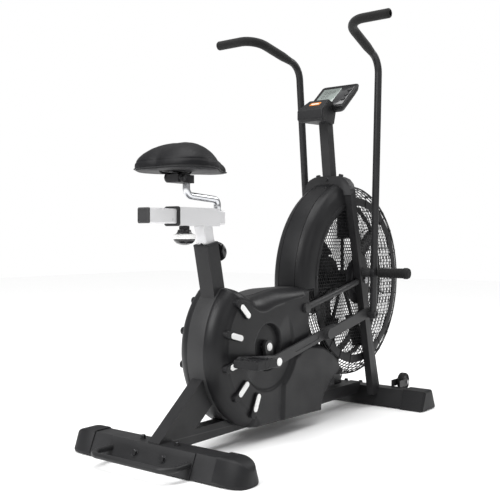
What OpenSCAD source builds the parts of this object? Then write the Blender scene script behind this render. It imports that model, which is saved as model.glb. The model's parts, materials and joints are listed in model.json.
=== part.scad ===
// Air bike: pedals and moving arms turn a front fan in a wire cage.
// The saddle slides on a post, and a console stands on the mast.
// Axes: +X is forward (towards the fan), +Y is the rider's left, +Z is up.
// The origin is on the floor, midway between the rear and front ends, on the centre plane.

/* [Base] */
// Distance between the two stabilizers
base_len = 1064; // [1058:1:1068]
// Half length of the rear stabilizer tube
stab_half = 300; // [285:1:310]
// Half length of the front stabilizer tube
front_half = 272; // [268:1:290]
// Gap between the stabilizer tubes and the floor
stab_lift = 4; // [4:0.5:5]
// Height of the stabilizer tubes
stab_h = 60; // [59:0.5:61]
// Half width of the stabilizer tubes at the bottom
stab_foot = 52; // [50:1:53]
// Half width of the stabilizer tubes at the top
stab_top = 26; // [25:1:27]
// Radius of the transport wheels
wheel_r = 32; // [28:1:32]

/* [Drive] */
// Height of the crank axis
crank_z = 280; // [279:1:281]
// Radius from the crank axis to the pedals
crank_len = 175; // [165:1:175]
// Throw of the pins that drive the arm links
pin_throw = 43; // [40:1:44]
// Radius of the crank pulley
crank_pulley_r = 95; // [90:1:96]
// Radius of the fan pulley
fan_pulley_r = 22; // [21:1:24]

/* [Fan] */
// Height of the fan axle
fan_z = 455; // [454:1:456]
// Radius of the cage
cage_r = 333; // [330:1:334]
// Number of fan blades
blade_count = 7; // [5:1:12]
// Number of ribs on each side of the cage
rib_count = 36; // [24:12:48]

/* [Arms] */
// Height of the arm pivots
pivot_z = 483; // [483:0.5:485]
// Radius of the arm tubes
arm_r = 12.5; // [12:0.1:12.6]
// Radius of the grip sleeves
grip_r = 15.5; // [14.5:0.1:16]
// Angle between the two arms at rest
arm_split = 7.8; // [6:0.2:9]

/* [Seat] */
// Rearward lean of the seat tube, in degrees
seat_lean = 12.5; // [12:0.1:13]
// Width of the square seat post
post_w = 36; // [35:0.5:36.5]
// Width of the sliding saddle tube
slide_w = 40; // [39:0.5:40]
// Width of the saddle
saddle_w = 250; // [235:5:260]

/* [Console] */
// Width of the console
console_w = 150; // [144:1:156]
// Slope of the console face, in degrees
console_tilt = 40; // [38:1:42]

/* [Hidden] */
$fn = 96;

// Clearances: a fixed joint, a running joint and a sliding joint
fit = 0.02;
run = 0.06;
slip = 0.4;
// How much thicker a tube is in its bends
bend_swell = 0.3;

// Places along the bike
base_mid = -40;
rear_x = base_mid - base_len / 2;
front_x = base_mid + base_len / 2;
crank_x = -188;
fan_x = 368;
pivot_x = 360;
stay_x = 10;
stay_z = 381;
wheel_x = front_x + 74;
wheel_y = 143;
wheel_z = 76;

// Layers outward from the centre plane, for one side
cup_floor = 58;
web_in = 67;
web_out = 79;
cover_face = 79;
accent_face = 89;
link_in = 90;
link_rear_out = 98;
arm_in = 100;
arm_out = 110;
link_front_out = 118;
pedal_in = 113;
pedal_out = 200;
leg_in = 67.5;
leg_out = 92.5;
hub_in = 124;
hub_out = 142;
arm_y = 133;
peg_out = 266;

// Angles of the crank seen from the rider's right
pin_angle = -80.5;
pedal_angle = 186.6;

frame_black = [0.12, 0.12, 0.13];
cover_black = [0.16, 0.16, 0.17];
pale_metal = [0.86, 0.86, 0.86];

function polar(x, z, r, a) = [x + r * cos(a), z + r * sin(a)];
function unit(v) = v / norm(v);
function mirrored(path) = [for (i = [len(path) - 1 : -1 : 0]) [-path[i].x, path[i].y]];
pin_pos = polar(crank_x, crank_z, pin_throw, pin_angle);
pedal_pos = polar(crank_x, crank_z, crank_len, pedal_angle);

// ---------------------------------------------------------------- helpers

// Cylinder along Y through (x, z)
module rod_y(x, z, r, y0, y1) {
  translate([x, y0, z]) rotate([-90, 0, 0]) cylinder(h = y1 - y0, r = r);
}

// Plate between y0 and y1 with an outline given in X and Z
module plate_y(points, y0, y1) {
  translate([0, y1, 0]) rotate([90, 0, 0]) linear_extrude(height = y1 - y0) polygon(points);
}

// Round bar between two points
module rod(p, q, r) {
  d = q - p;
  translate(p) rotate([0, acos(d.z / norm(d)), atan2(d.y, d.x)]) cylinder(h = norm(d), r = r);
}

// Elbow at a corner between two directions
module elbow(corner, d1, d2, bend_r, r) {
  turn = acos(d1 * d2);
  n = unit(cross(d1, d2));
  m = cross(n, d1);
  c = corner - d1 * bend_r * tan(turn / 2) + m * bend_r;
  multmatrix([
    [-m.x, d1.x, n.x, c.x],
    [-m.y, d1.y, n.y, c.y],
    [-m.z, d1.z, n.z, c.z],
    [0, 0, 0, 1]
  ]) rotate_extrude(angle = turn) translate([bend_r, 0]) circle(r);
}

// Distance from the corner of a bend to where the straight part ends
function set_back(p, i, bend_r) =
  i <= 0 || i >= len(p) - 1 ? 0
  : bend_r * tan(acos(unit(p[i] - p[i - 1]) * unit(p[i + 1] - p[i])) / 2);

// Tube that follows a path of points with rounded corners; the bends are a shade thicker
module bent_rod(p, bend_r, r) {
  for (i = [0 : len(p) - 2]) {
    d = unit(p[i + 1] - p[i]);
    lap = [i > 0 ? 1 : 0, i < len(p) - 2 ? 1 : 0];
    rod(p[i] + d * (set_back(p, i, bend_r) - lap[0]),
      p[i + 1] - d * (set_back(p, i + 1, bend_r) - lap[1]), r);
  }
  for (i = [1 : len(p) - 2])
    elbow(p[i], unit(p[i] - p[i - 1]), unit(p[i + 1] - p[i]), bend_r, r + bend_swell);
}

// Flat bar with round ends of width w, between (x, z) points p and q
module link_bar(p, q, w, y0, y1) {
  taper_bar(p, q, w / 2, w / 2, y0, y1);
}

// Bar that tapers between round ends of radius r1 and r2; its flats can sink a shade into the ends
module taper_bar(p, q, r1, r2, y0, y1, sink = 0) {
  d = unit(q - p);
  n = [-d.y, d.x];
  k = (r1 - r2) / norm(q - p);
  c = sqrt(1 - k * k);
  up = d * k + n * c;
  down = d * k - n * c;
  s1 = r1 - sink;
  s2 = r2 - sink;
  plate_y([p + up * s1, q + up * s2, q + down * s2, p + down * s1], y0, y1);
  rod_y(p.x, p.y, r1, y0, y1);
  rod_y(q.x, q.y, r2, y0, y1);
}

module on_left() {
  mirror([0, 1, 0]) children();
}

// Seat tube frame: origin on the tube axis at the base beam, +Z up the tube
module seat_frame() {
  translate([-272, 0, 78]) rotate([0, -seat_lean, 0]) children();
}

// ---------------------------------------------------------------- base

// Outline of a stabilizer tube, grown outward by g
function stab_outline(x, g) = [
  [x - stab_foot - g, stab_lift - g],
  [x + stab_foot + g, stab_lift - g],
  [x + stab_top + g, stab_lift + stab_h + g],
  [x - stab_top - g, stab_lift + stab_h + g]
];

module stabilizer(x, half) {
  difference() {
    plate_y(stab_outline(x, 0), -half, half);
    plate_y(stab_outline(x, -3), -half - 1, half + 1);
  }
}

// Pair of plastic caps over the ends of a stabilizer
module end_caps(x, half) {
  for (s = [-1, 1]) scale([1, s, 1]) difference() {
    union() {
      plate_y(stab_outline(x, 4), half - 78, half);
      plate_y(stab_outline(x, 2), half, half + 4);
      plate_y(stab_outline(x, -1), half + 4, half + 7);
    }
    plate_y(stab_outline(x, 0.15), half - 100, half + 0.15);
    plate_y(stab_outline(x, -3.2), half - 100, half + 2);
  }
}

// Places of the four bolts that hold the lift loop's plate
module base_bolt_axes() {
  normal_lean = atan2(stab_h, stab_foot - stab_top);
  for (y = [-50, 50]) translate([rear_x - (stab_foot + stab_top) / 2, y, stab_lift + stab_h / 2])
    rotate([0, -normal_lean, 0]) children();
}

module main_frame() {
  color(frame_black) difference() {
    union() {
      translate([-545, -20, 38]) cube([1010, 40, 40]);
      plate_y([[-596, 64], [-596, 67], [-333, 281], [-313, 187], [-450, 78], [-540, 70], [-540, 64]],
        -20, 20);
      seat_frame() translate([-25, -25, -10]) cube([50, 50, 527]);
      rod_y(crank_x, crank_z, 28, -46, 30);
      translate([crank_x - 15, -15, 60]) cube([30, 30, 205]);
      translate([-325, -12, 312]) cube([335, 24, 26]);
      translate([stay_x - 12, -15, 60]) cube([24, 30, stay_z - 60]);
      rod_y(stay_x, stay_z, 13, -web_in, web_in);
    }
    translate([-550, -17, 41]) cube([1020, 34, 34]);
    seat_frame() translate([-22, -22, 180]) cube([44, 44, 340]);
    seat_frame() translate([0, 0, 487]) rotate([0, 90, 0]) cylinder(h = 40, r = 8.5);
    rod_y(crank_x, crank_z, 22 + fit, -47, 31);
    rod_y(stay_x, stay_z, 5, -70, 70);
    plate_y(stab_outline(rear_x, 0), -60, 60);
    plate_y(stab_outline(front_x, 0), -60, 60);
  }
}

module rear_stabilizer() {
  color(frame_black) difference() {
    stabilizer(rear_x, stab_half);
    base_bolt_axes() translate([0, 0, -12]) cylinder(h = 30, r = 5 + run);
  }
}

module front_stabilizer() {
  color(frame_black) union() {
    stabilizer(front_x, front_half);
    for (s = [-1, 1]) translate([0, s * wheel_y, 0]) for (t = [-1, 1]) difference() {
      union() {
        translate([wheel_x - 61, t * 15.5 - 1.5, stab_lift + stab_h - 0.5]) cube([61, 3, 24]);
        rod_y(wheel_x, wheel_z, 12, t * 15.5 - 1.5, t * 15.5 + 1.5);
      }
      rod_y(wheel_x, wheel_z, 4 + fit, -20, 20);
    }
  }
}

module rear_end_caps() {
  color("#151516") end_caps(rear_x, stab_half);
}

module front_end_caps() {
  color("#151516") end_caps(front_x, front_half);
}

// Bent tube for lifting the bike, on a plate that bolts to the rear stabilizer
module lift_loop() {
  root_x = rear_x - 43;
  loop_x = rear_x - 122;
  plate = [
    [rear_x - stab_foot, stab_lift], [rear_x - stab_top, stab_lift + stab_h],
    [rear_x - stab_top - 4, stab_lift + stab_h], [rear_x - stab_foot - 4, stab_lift]
  ];
  color(frame_black) difference() {
    union() {
      plate_y(plate, -150, 150);
      bent_rod([[root_x, -140, 36], [loop_x, -140, 36], [loop_x, 140, 36], [root_x, 140, 36]], 34, 8);
    }
    plate_y(stab_outline(rear_x, 0), -160, 160);
    base_bolt_axes() translate([0, 0, -2]) cylinder(h = 30, r = 5 + run);
  }
}

module base_bolts() {
  color("#202022") base_bolt_axes() difference() {
    union() {
      translate([0, 0, -10]) cylinder(h = 15, r = 5);
      translate([0, 0, 4.3]) cylinder(h = 6, r = 8.5);
    }
    translate([0, 0, 7]) cylinder(h = 5, r = 4, $fn = 6);
  }
}

module wheel_axles() {
  color("silver") for (s = [-1, 1]) translate([0, s * wheel_y, 0]) {
    rod_y(wheel_x, wheel_z, 4, -18, 18);
    rod_y(wheel_x, wheel_z, 7, 17.02, 20);
    rod_y(wheel_x, wheel_z, 7, -20, -17.02);
  }
}

module wheel(y) {
  color("#1a1a1b") translate([wheel_x, y, wheel_z]) rotate([90, 0, 0]) rotate_extrude()
    polygon([[4 + run, -12], [12, -12], [14, -9], [wheel_r - 7, -9], [wheel_r - 3, -11],
      [wheel_r, -8], [wheel_r, 8], [wheel_r - 3, 11], [wheel_r - 7, 9], [14, 9], [12, 12],
      [4 + run, 12]]);
}

module right_wheel() {
  wheel(-wheel_y);
}

module left_wheel() {
  wheel(wheel_y);
}

// ---------------------------------------------------------------- front fork and mast

// Side outline of a leg: slim above and below, and wide beside the axle and the arm pivot
leg_outline = [[433, 40], [478, 40], [478, 66], [402, 330], [392, 400], [387, 470], [376, 530],
  [342, 552], [300, 767], [263, 767], [340, fan_z]];

module fork_leg() {
  difference() {
    union() {
      plate_y(leg_outline, -leg_out, -leg_in);
      rod_y(pivot_x, pivot_z, 20, -leg_out, -leg_in);
    }
    rod_y(fan_x, fan_z, 8 + fit, -100, -60);
    rod_y(pivot_x, pivot_z, 9 + fit, -100, -60);
    plate_y(stab_outline(front_x, 0), -100, -60);
  }
}

module front_fork() {
  right_half = [[-leg_out, 750], [-leg_out, 770], [-86, 790], [-72, 806], [-52, 815], [-30, 818]];
  right_inside = [[-34, 786], [-52, 779], [-63, 767], [-leg_in, 750]];
  crown = concat(right_half, mirrored(right_half), mirrored(right_inside), right_inside);
  color(frame_black) union() {
    fork_leg();
    on_left() fork_leg();
    translate([263, 0, 0]) rotate([90, 0, 90]) linear_extrude(height = 36) polygon(crown);
  }
}

// Solid that fills the mast; it leans back from the crown
module mast_core(g) {
  translate([281, 0, 818]) rotate([0, -8, 0]) translate([-19 + g, -17 + g, 0])
    cube([38 - 2 * g, 34 - 2 * g, 205]);
}

module mast() {
  color(frame_black) difference() {
    mast_core(0);
    mast_core(2.5);
    translate([240, -40, 810]) cube([80, 80, 8]);
  }
}

// ---------------------------------------------------------------- stays

// Bar from the stay's eye to the rear face of the fork leg
module stay_rod(r) {
  rod([stay_x, -78, stay_z], [stay_x + 330.2, -78, stay_z + 69.7], r);
}

module right_stay() {
  color([0.2, 0.2, 0.21]) difference() {
    union() {
      stay_rod(10);
      rod_y(stay_x, stay_z, 15, -89.5, -web_in);
    }
    rod_y(stay_x, stay_z, 5, -100, -60);
  }
}

module left_stay() {
  on_left() right_stay();
}

// ---------------------------------------------------------------- casing

drum_r = 243;
drum_flat = 30;
casing_rear = -460;
casing_front = 38;
casing_top = 445;
wall = 3.5;

// Half section of the round rear casing, inset by g
function drum_section(g) = concat(
  [[0, 0], [drum_r - g, 0]],
  [for (a = [0 : 15 : 90]) [drum_r - 46 + (46 - g) * cos(a), drum_flat + (49 - g) * sin(a)]],
  [[0, cover_face - g]]
);

// Cross section of the forward casing in Y and Z, with rounded shoulders, inset by g
function hood_section(g) = concat(
  [[0, 50], [cover_face - g, 50]],
  [for (a = [0 : 15 : 90])
    [cover_face - 24 + (24 - g) * cos(a), casing_top - 24 + (24 - g) * sin(a)]],
  [[0, casing_top - g]]
);

// Right half of the casing volume, inset by g
module casing(g) {
  intersection() {
    translate([crank_x, 0, crank_z]) rotate([90, 0, 0]) rotate_extrude() polygon(drum_section(g));
    translate([casing_rear, -100, 50]) cube([430, 101, casing_top - g - 50]);
  }
  translate([crank_x, 0, 0]) mirror([0, 1, 0]) rotate([90, 0, 90])
    linear_extrude(height = casing_front - crank_x + (g > 0 ? 200 : 0)) polygon(hood_section(g));
}

// Low nose of the casing beside the fan cage
nose_outline = [[-100, 50], [94, 42], [102, 72], [158, 134], [204, 156], [210, 174], [196, 194],
  [150, 228], [90, 254], [18, 262], [-40, 250], [-100, 200]];

module recess(r, y0, y1) {
  rod_y(crank_x, crank_z, r, y0, y1);
}

module accent_boss(i, r, y0, y1) {
  a = 137.5 + 27 * i;
  p = polar(crank_x, crank_z, 169 - 18, a);
  q = polar(crank_x, crank_z, 169 + 18, a);
  link_bar(p, q, 2 * r, y0, y1);
}

// Side shell of the casing on the rider's right
module cover_shell() {
  difference() {
    union() {
      difference() {
        union() {
          casing(0);
          plate_y(nose_outline, -cover_face, -cover_face + wall);
          difference() {
            plate_y(nose_outline, -accent_face + 1.5, -cover_face + wall);
            recess(138, -100, -60);
          }
        }
        casing(wall);
        translate([casing_rear, -drum_flat, 0]) cube([700, 60, 500]);
        translate([casing_rear, -100, 0]) cube([700, 140, 58]);
      }
      recess(134, -cover_face + 0.5, -cover_face + 8.5);
      recess(74, -cover_face + 8, -cup_floor);
      for (i = [0 : 4]) accent_boss(i, 11, -accent_face + 2, -cover_face + 2);
    }
    recess(130, -100, -cover_face + 5);
    recess(70, -100, -cup_floor - 3.5);
    recess(16, -100, 0);
    rod_y(fan_x, fan_z, cage_r + 3, -67, 10);
    stay_rod(17);
    rod_y(stay_x, stay_z, 20, -100, -60);
    for (i = [0 : 4]) accent_boss(i, 8, -100, -accent_face + 4);
  }
}

module right_cover() {
  color(cover_black) cover_shell();
}

module left_cover() {
  color(cover_black) on_left() cover_shell();
}

// Middle strip of the casing, over the rear and the top
module spine_cover() {
  color([0.22, 0.22, 0.23]) difference() {
    union() {
      intersection() {
        rod_y(crank_x, crank_z, drum_r, -drum_flat, drum_flat);
        translate([casing_rear, -50, 82]) cube([280, 100, casing_top - 82]);
      }
      translate([crank_x, -drum_flat, 82])
        cube([casing_front - crank_x, 2 * drum_flat, casing_top - 82]);
    }
    intersection() {
      rod_y(crank_x, crank_z, drum_r - wall, -50, 50);
      translate([casing_rear, -50, 0]) cube([280, 100, casing_top - wall]);
    }
    translate([crank_x, -50, 0]) cube([400, 100, casing_top - wall]);
    rod_y(fan_x, fan_z, cage_r + 3, -50, 50);
    seat_frame() translate([-25.5, -25.5, 0]) cube([51, 51, 560]);
    plate_y([[-620, 40], [-610, 75], [-332, 300], [-290, 187], [-438, 78], [-438, 40]], -21, 21);
  }
}

module accents() {
  for (i = [0 : 4]) accent_boss(i, 8 - fit, -accent_face, -accent_face + 4);
}

module right_cover_accents() {
  color("white") accents();
}

module left_cover_accents() {
  color("white") on_left() accents();
}

// ---------------------------------------------------------------- fan

// Wind guard: outer and inner edge of one half section, as radius and distance from the middle
guard_edge = [[275, 67], [318, 67], [341, 50], [351, 29]];
guard_inner = [[275, 64.3], [316.5, 64.3], [338, 48.5], [348, 27.5]];

module fan_shroud() {
  section = concat(
    guard_edge, [for (i = [3 : -1 : 0]) [guard_edge[i].x, -guard_edge[i].y]],
    [for (p = guard_inner) [p.x, -p.y]], [for (i = [3 : -1 : 0]) guard_inner[i]]
  );
  color(cover_black) translate([fan_x, 0, fan_z]) rotate([90, 0, 0]) rotate([0, 0, 110])
    rotate_extrude(angle = 71.3) polygon(section);
}

// One side of the wire cage: flat rings and ribs, then a shoulder and the rim
module cage_side() {
  shoulder_r = cage_r - 12;
  translate([fan_x, -61, fan_z]) rotate([90, 0, 0]) linear_extrude(height = 3) {
    for (r = [60, 140, 180, 220, 260, cage_r - 32]) difference() {
      circle(r);
      circle(r - 4);
    }
    for (i = [0 : rib_count - 1]) rotate(i * 360 / rib_count)
      translate([57, -1]) square([cage_r - 90, 2]);
  }
  translate([fan_x, 0, fan_z]) rotate([90, 0, 0]) {
    rotate_extrude() translate([shoulder_r - 2, 54]) square([4, 4]);
    rotate_extrude() translate([cage_r - 3, 29]) square([4, 4]);
    for (a = [0 : 15 : 345]) if (a < 180 || a > 215) rotate(a) {
      rotate([90, 0, 0]) translate([0, 0, -1.3]) linear_extrude(height = 2.6)
        polygon([[cage_r - 34.5, 61.6], [cage_r - 34.5, 63.4], [shoulder_r + 1, 57.4],
          [cage_r + 0.4, 31.5], [cage_r + 0.4, 0], [cage_r - 2, 0], [cage_r - 2, 30.5],
          [shoulder_r - 1, 55]]);
    }
  }
}

module right_cage() {
  color("#2a2a2c") cage_side();
}

module left_cage() {
  color("#2a2a2c") on_left() cage_side();
}

module fan_axle() {
  color("silver") {
    rod_y(fan_x, fan_z, 8, -100, 100);
    for (s = [-1, 1]) scale([1, s, 1]) difference() {
      translate([fan_x, leg_out, fan_z]) rotate([-90, 0, 0]) cylinder(h = 6, r = 12, $fn = 6);
      rod_y(fan_x, fan_z, 7, 80, 110);
    }
  }
}

module fan_bearings() {
  color("silver") for (y = [-44, 24]) difference() {
    rod_y(fan_x, fan_z, 18, y, y + 11);
    rod_y(fan_x, fan_z, 8 + run, y - 1, y + 12);
  }
}

module fan_wheel() {
  color("#232325") translate([fan_x, 0, fan_z]) rotate([90, 0, 0]) difference() {
    union() {
      translate([0, 0, -36]) cylinder(h = 81, r = 34);
      for (i = [0 : blade_count - 1]) rotate(i * 360 / blade_count + 90) {
        translate([30, -6, -3]) cube([150, 12, 6]);
        translate([146, -1.5, -25]) cube([136, 3, 54]);
      }
      difference() {
        cylinder(h = 4, r = 284);
        translate([0, 0, -1]) cylinder(h = 6, r = 268);
      }
    }
    translate([0, 0, -40]) cylinder(h = 90, r = 14);
    translate([0, 0, -37]) cylinder(h = 13, r = 18 + fit);
    translate([0, 0, 33]) cylinder(h = 13, r = 18 + fit);
  }
}

// Grooved pulley between y0 and y0 + 13, with a flange on each side
module pulley(x, z, r, bore, y0) {
  difference() {
    union() {
      rod_y(x, z, r, y0, y0 + 13);
      rod_y(x, z, r + 4, y0, y0 + 1.5);
      rod_y(x, z, r + 4, y0 + 11.5, y0 + 13);
    }
    rod_y(x, z, bore, y0 - 1, y0 + 14);
    if (r > 60) for (a = [0 : 60 : 300]) {
      c = polar(x, z, r * 0.58, a);
      rod_y(c.x, c.y, r * 0.2, y0 - 1, y0 + 14);
    }
  }
}

module fan_pulley() {
  color("silver") pulley(fan_x, fan_z, fan_pulley_r, 8 + run, 37);
}

// Outline round both pulleys, g outside their grooves
module belt_wrap(g, y0, y1) {
  r1 = crank_pulley_r + g;
  r2 = fan_pulley_r + g;
  taper_bar([crank_x, crank_z], [fan_x, fan_z], r1, r2, y0, y1, 0.04);
}

module drive_belt() {
  color("#1c1c1d") difference() {
    belt_wrap(3.5, 40, 47);
    belt_wrap(0.4, 39, 48);
  }
}

// ---------------------------------------------------------------- crank

module crank_bearings() {
  color("silver") for (y = [-46, 18]) difference() {
    rod_y(crank_x, crank_z, 22, y, y + 12);
    rod_y(crank_x, crank_z, 10 + run, y - 1, y + 13);
  }
}

module crank_spindle() {
  color("silver") rod_y(crank_x, crank_z, 10, -web_out, web_out);
}

module crank_pulley() {
  color("#3a3a3c") pulley(crank_x, crank_z, crank_pulley_r, 10 + fit, 37);
}

// Puts children, made for the rider's right, on the left and half a turn on
module opposite_crank() {
  translate([2 * crank_x, 0, 2 * crank_z]) rotate([0, 180, 0]) on_left() children();
}

module web() {
  difference() {
    taper_bar([crank_x, crank_z], pin_pos, 20, 15, -web_out, -web_in);
    rod_y(crank_x, crank_z, 10 + fit, -100, -60);
    rod_y(pin_pos.x, pin_pos.y, 8 + fit, -100, -60);
  }
}

module crank_webs() {
  color([0.28, 0.28, 0.29]) {
    web();
    opposite_crank() web();
  }
}

module crank_arm() {
  difference() {
    taper_bar(pin_pos, pedal_pos, 18, 13, -arm_out, -arm_in);
    rod_y(pin_pos.x, pin_pos.y, 8 + fit, -120, -90);
    rod_y(pedal_pos.x, pedal_pos.y, 7 + fit, -120, -90);
  }
}

module right_crank_arm() {
  color([0.3, 0.3, 0.31]) crank_arm();
}

module left_crank_arm() {
  color([0.3, 0.3, 0.31]) opposite_crank() crank_arm();
}

module crank_pins() {
  color("silver") {
    rod_y(pin_pos.x, pin_pos.y, 8, -arm_out, -web_in);
    opposite_crank() rod_y(pin_pos.x, pin_pos.y, 8, -arm_out, -web_in);
  }
}

module pedal_spindles() {
  color("silver") {
    rod_y(pedal_pos.x, pedal_pos.y, 7, -196, -arm_in);
    opposite_crank() rod_y(pedal_pos.x, pedal_pos.y, 7, -196, -arm_in);
  }
}

module caps() {
  rod_y(crank_x, crank_z, 12, -web_out - 3, -web_out);
  rod_y(pin_pos.x, pin_pos.y, 12, -arm_out - 3, -arm_out);
}

module crank_caps() {
  color("white") {
    caps();
    opposite_crank() caps();
  }
}

module pedal() {
  x = pedal_pos.x;
  z = pedal_pos.y;
  difference() {
    union() {
      rod_y(x, z, 13, -pedal_out, -pedal_in);
      translate([x - 46, -pedal_out, z - 11]) cube([92, 12, 22]);
      translate([x - 46, -pedal_in - 14, z - 11]) cube([92, 12, 22]);
      for (s = [-1, 1]) translate([x + s * 40 - 6, -pedal_out, z - 12])
        cube([12, pedal_out - pedal_in - 2, 24]);
    }
    rod_y(x, z, 7 + run, -197, -100);
  }
}

module right_pedal() {
  color("#1b1b1c") pedal();
}

module left_pedal() {
  color("#1b1b1c") opposite_crank() pedal();
}

// ---------------------------------------------------------------- arms and links

// Ends of the link: at the crank pin, and beside the foot of the arm
link_front = [352, 345];

module link() {
  d = unit(link_front - pin_pos);
  rear_end = pin_pos + d * 330;
  front_start = pin_pos + d * 285;
  difference() {
    union() {
      link_bar(pin_pos, rear_end, 34, -link_rear_out, -link_in);
      link_bar(front_start, rear_end, 38, -arm_out, -link_rear_out + 1);
      link_bar(front_start, link_front, 34, -link_front_out, -arm_out + 1);
    }
    rod_y(pin_pos.x, pin_pos.y, 8 + run, -120, -60);
    rod_y(link_front.x, link_front.y, 8, -130, -60);
    link_bar(pin_pos + d * 110, pin_pos + d * 240, 12, -link_rear_out - 1, -link_rear_out + 2);
  }
}

module right_link() {
  color([0.3, 0.3, 0.31]) link();
}

// The left link hangs on the opposite pin and keeps the same slope
module left_link() {
  opposite_pin = polar(crank_x, crank_z, pin_throw, pin_angle + 180);
  shift = opposite_pin - pin_pos;
  color([0.3, 0.3, 0.31]) translate([shift.x, 0, shift.y]) on_left() link();
}

module foot_peg() {
  difference() {
    union() {
      rod_y(pivot_x, pivot_z, 9, -leg_out, -leg_in);
      rod_y(pivot_x, pivot_z, 16, -hub_in + 1, -leg_out);
      rod_y(pivot_x, pivot_z, 12, -peg_out + 10, -leg_out);
      rod_y(pivot_x, pivot_z, 17, -peg_out, -hub_out - 5);
      rod_y(pivot_x, pivot_z, 19, -peg_out + 6, -peg_out + 14);
    }
    for (y = [-peg_out + 22 : 12 : -hub_out - 12]) difference() {
      rod_y(pivot_x, pivot_z, 20, y, y + 3);
      rod_y(pivot_x, pivot_z, 15.5, y - 1, y + 4);
    }
  }
}

module right_foot_peg() {
  color("#202021") foot_peg();
}

module left_foot_peg() {
  color("#202021") on_left() foot_peg();
}

module arm_bushes() {
  color("#3c3c3e") for (s = [-1, 1]) scale([1, s, 1]) difference() {
    rod_y(pivot_x, pivot_z, 15, hub_in - 1, hub_out + 1);
    rod_y(pivot_x, pivot_z, 12 + fit, 100, 160);
  }
}

// Path of the right arm, measured from its pivot
arm_path = [[-8, -arm_y, -144], [29, -arm_y, 738], [-212, -145, 822], [-212, -302, 822]];
bend = 62;

module at_pivot() {
  translate([pivot_x, 0, pivot_z]) children();
}

module arm() {
  foot = arm_path[0];
  difference() {
    union() {
      difference() {
        bent_rod(arm_path, bend, arm_r);
        bent_rod(arm_path, bend, arm_r - 2);
      }
      rod_y(0, 0, 20, -hub_out, -hub_in);
      rod_y(foot.x, foot.z, 14, -arm_y - arm_r - 1, -link_front_out - 2);
    }
    rod_y(0, 0, 15 + run, -200, -100);
    rod_y(0, 0, 18, -hub_in - 0.5, -100);
    rod_y(0, 0, 18, -200, -hub_out + 0.5);
    rod_y(foot.x, foot.z, 5, -200, -100);
  }
}

module arm_grip() {
  d = unit(arm_path[2] - arm_path[1]);
  path = [arm_path[1] + d * 56, arm_path[2], arm_path[3] - [0, 4, 0]];
  bore = [arm_path[1] + d * 50, arm_path[2], arm_path[3] - [0, 0.5, 0]];
  difference() {
    bent_rod(path, bend, grip_r);
    bent_rod(bore, bend, arm_r + run);
  }
}

// Puts the left copy of a right-hand arm part back by the angle between the arms
module left_arm_pose() {
  at_pivot() rotate([0, -arm_split, 0]) on_left() children();
}

module right_arm() {
  color(frame_black) at_pivot() arm();
}

module left_arm() {
  color(frame_black) left_arm_pose() arm();
}

module right_arm_grip() {
  color("#19191a") at_pivot() arm_grip();
}

module left_arm_grip() {
  color("#19191a") left_arm_pose() arm_grip();
}

// ---------------------------------------------------------------- seat

tube_top = 517;

module seat_bushing() {
  color("#1d1d1e") seat_frame() difference() {
    union() {
      translate([-22 + fit, -22 + fit, tube_top - 60]) cube([44 - 2 * fit, 44 - 2 * fit, 60]);
      translate([-27, -27, tube_top]) cube([54, 54, 6]);
    }
    translate([-post_w / 2 - slip / 2, -post_w / 2 - slip / 2, tube_top - 70])
      cube([post_w + slip, post_w + slip, 90]);
    translate([0, 0, 487]) rotate([0, 90, 0]) cylinder(h = 40, r = 8.5);
  }
}

// Rear, front, bottom and top of the box that carries the saddle tube
carriage = [-521, -352, 636, 686];
slide_z = 661;
slide_rear = -631;
lock_x = -475;

// Square post with a row of holes, and the box that guides the saddle tube
module seat_post() {
  color(pale_metal) difference() {
    union() {
      seat_frame() translate([-post_w / 2, -post_w / 2, 230]) cube([post_w, post_w, 345]);
      translate([carriage[0], -25, carriage[2]])
        cube([carriage[1] - carriage[0], 50, carriage[3] - carriage[2]]);
    }
    seat_frame() translate([-15, -15, 220]) cube([30, 30, 340]);
    seat_frame() for (z = [260 : 26 : 545]) translate([-40, 0, z]) rotate([0, 90, 0])
      cylinder(h = 80, r = 6);
    translate([carriage[0] - 1, -slide_w / 2 - slip, slide_z - slide_w / 2 - slip])
      cube([300, slide_w + 2 * slip, slide_w + 2 * slip]);
    translate([lock_x, 0, 600]) cylinder(h = 50, r = 8);
  }
}

module seat_slider() {
  color(pale_metal) difference() {
    translate([slide_rear, -slide_w / 2, slide_z - slide_w / 2]) cube([309, slide_w, slide_w]);
    translate([slide_rear + 5, -slide_w / 2 + 3, slide_z - slide_w / 2 + 3])
      cube([299, slide_w - 6, slide_w - 6]);
  }
}

// Where the Z-shaped saddle pin leaves the slider and where it enters the clamp
pin_foot = -334;
pin_head = -466;

module saddle_pin() {
  color("#d8dade") bent_rod([
    [pin_foot, 0, slide_z + slide_w / 2], [pin_foot, 0, 712], [pin_head, 0, 720], [pin_head, 0, 779]
  ], 20, 10);
}

module saddle_clamp() {
  color("#1d1d1e") difference() {
    union() {
      translate([pin_head - 58, -21, 752]) cube([66, 42, 22]);
      rod_y(pin_head - 44, 766, 13, -30, 30);
    }
    translate([pin_head, 0, 740]) cylinder(h = 39.5, r = 10 + run);
  }
}

// Wide saddle: two rear lobes and a short nose under a low dome
module saddle() {
  half = saddle_w / 2;
  color("#161617") hull() {
    for (s = [-1, 1]) {
      translate([-524, s * (half - 72), 782]) cylinder(h = 26, r = 72, $fn = 32);
      translate([-514, s * (half - 88), 840]) cylinder(h = 20, r = 52, $fn = 32);
    }
    translate([-350, 0, 784]) cylinder(h = 24, r = 38, $fn = 32);
    translate([-376, 0, 838]) cylinder(h = 10, r = 26, $fn = 32);
    translate([-486, 0, 862]) cylinder(h = 4, r = 38, $fn = 32);
  }
}

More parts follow.
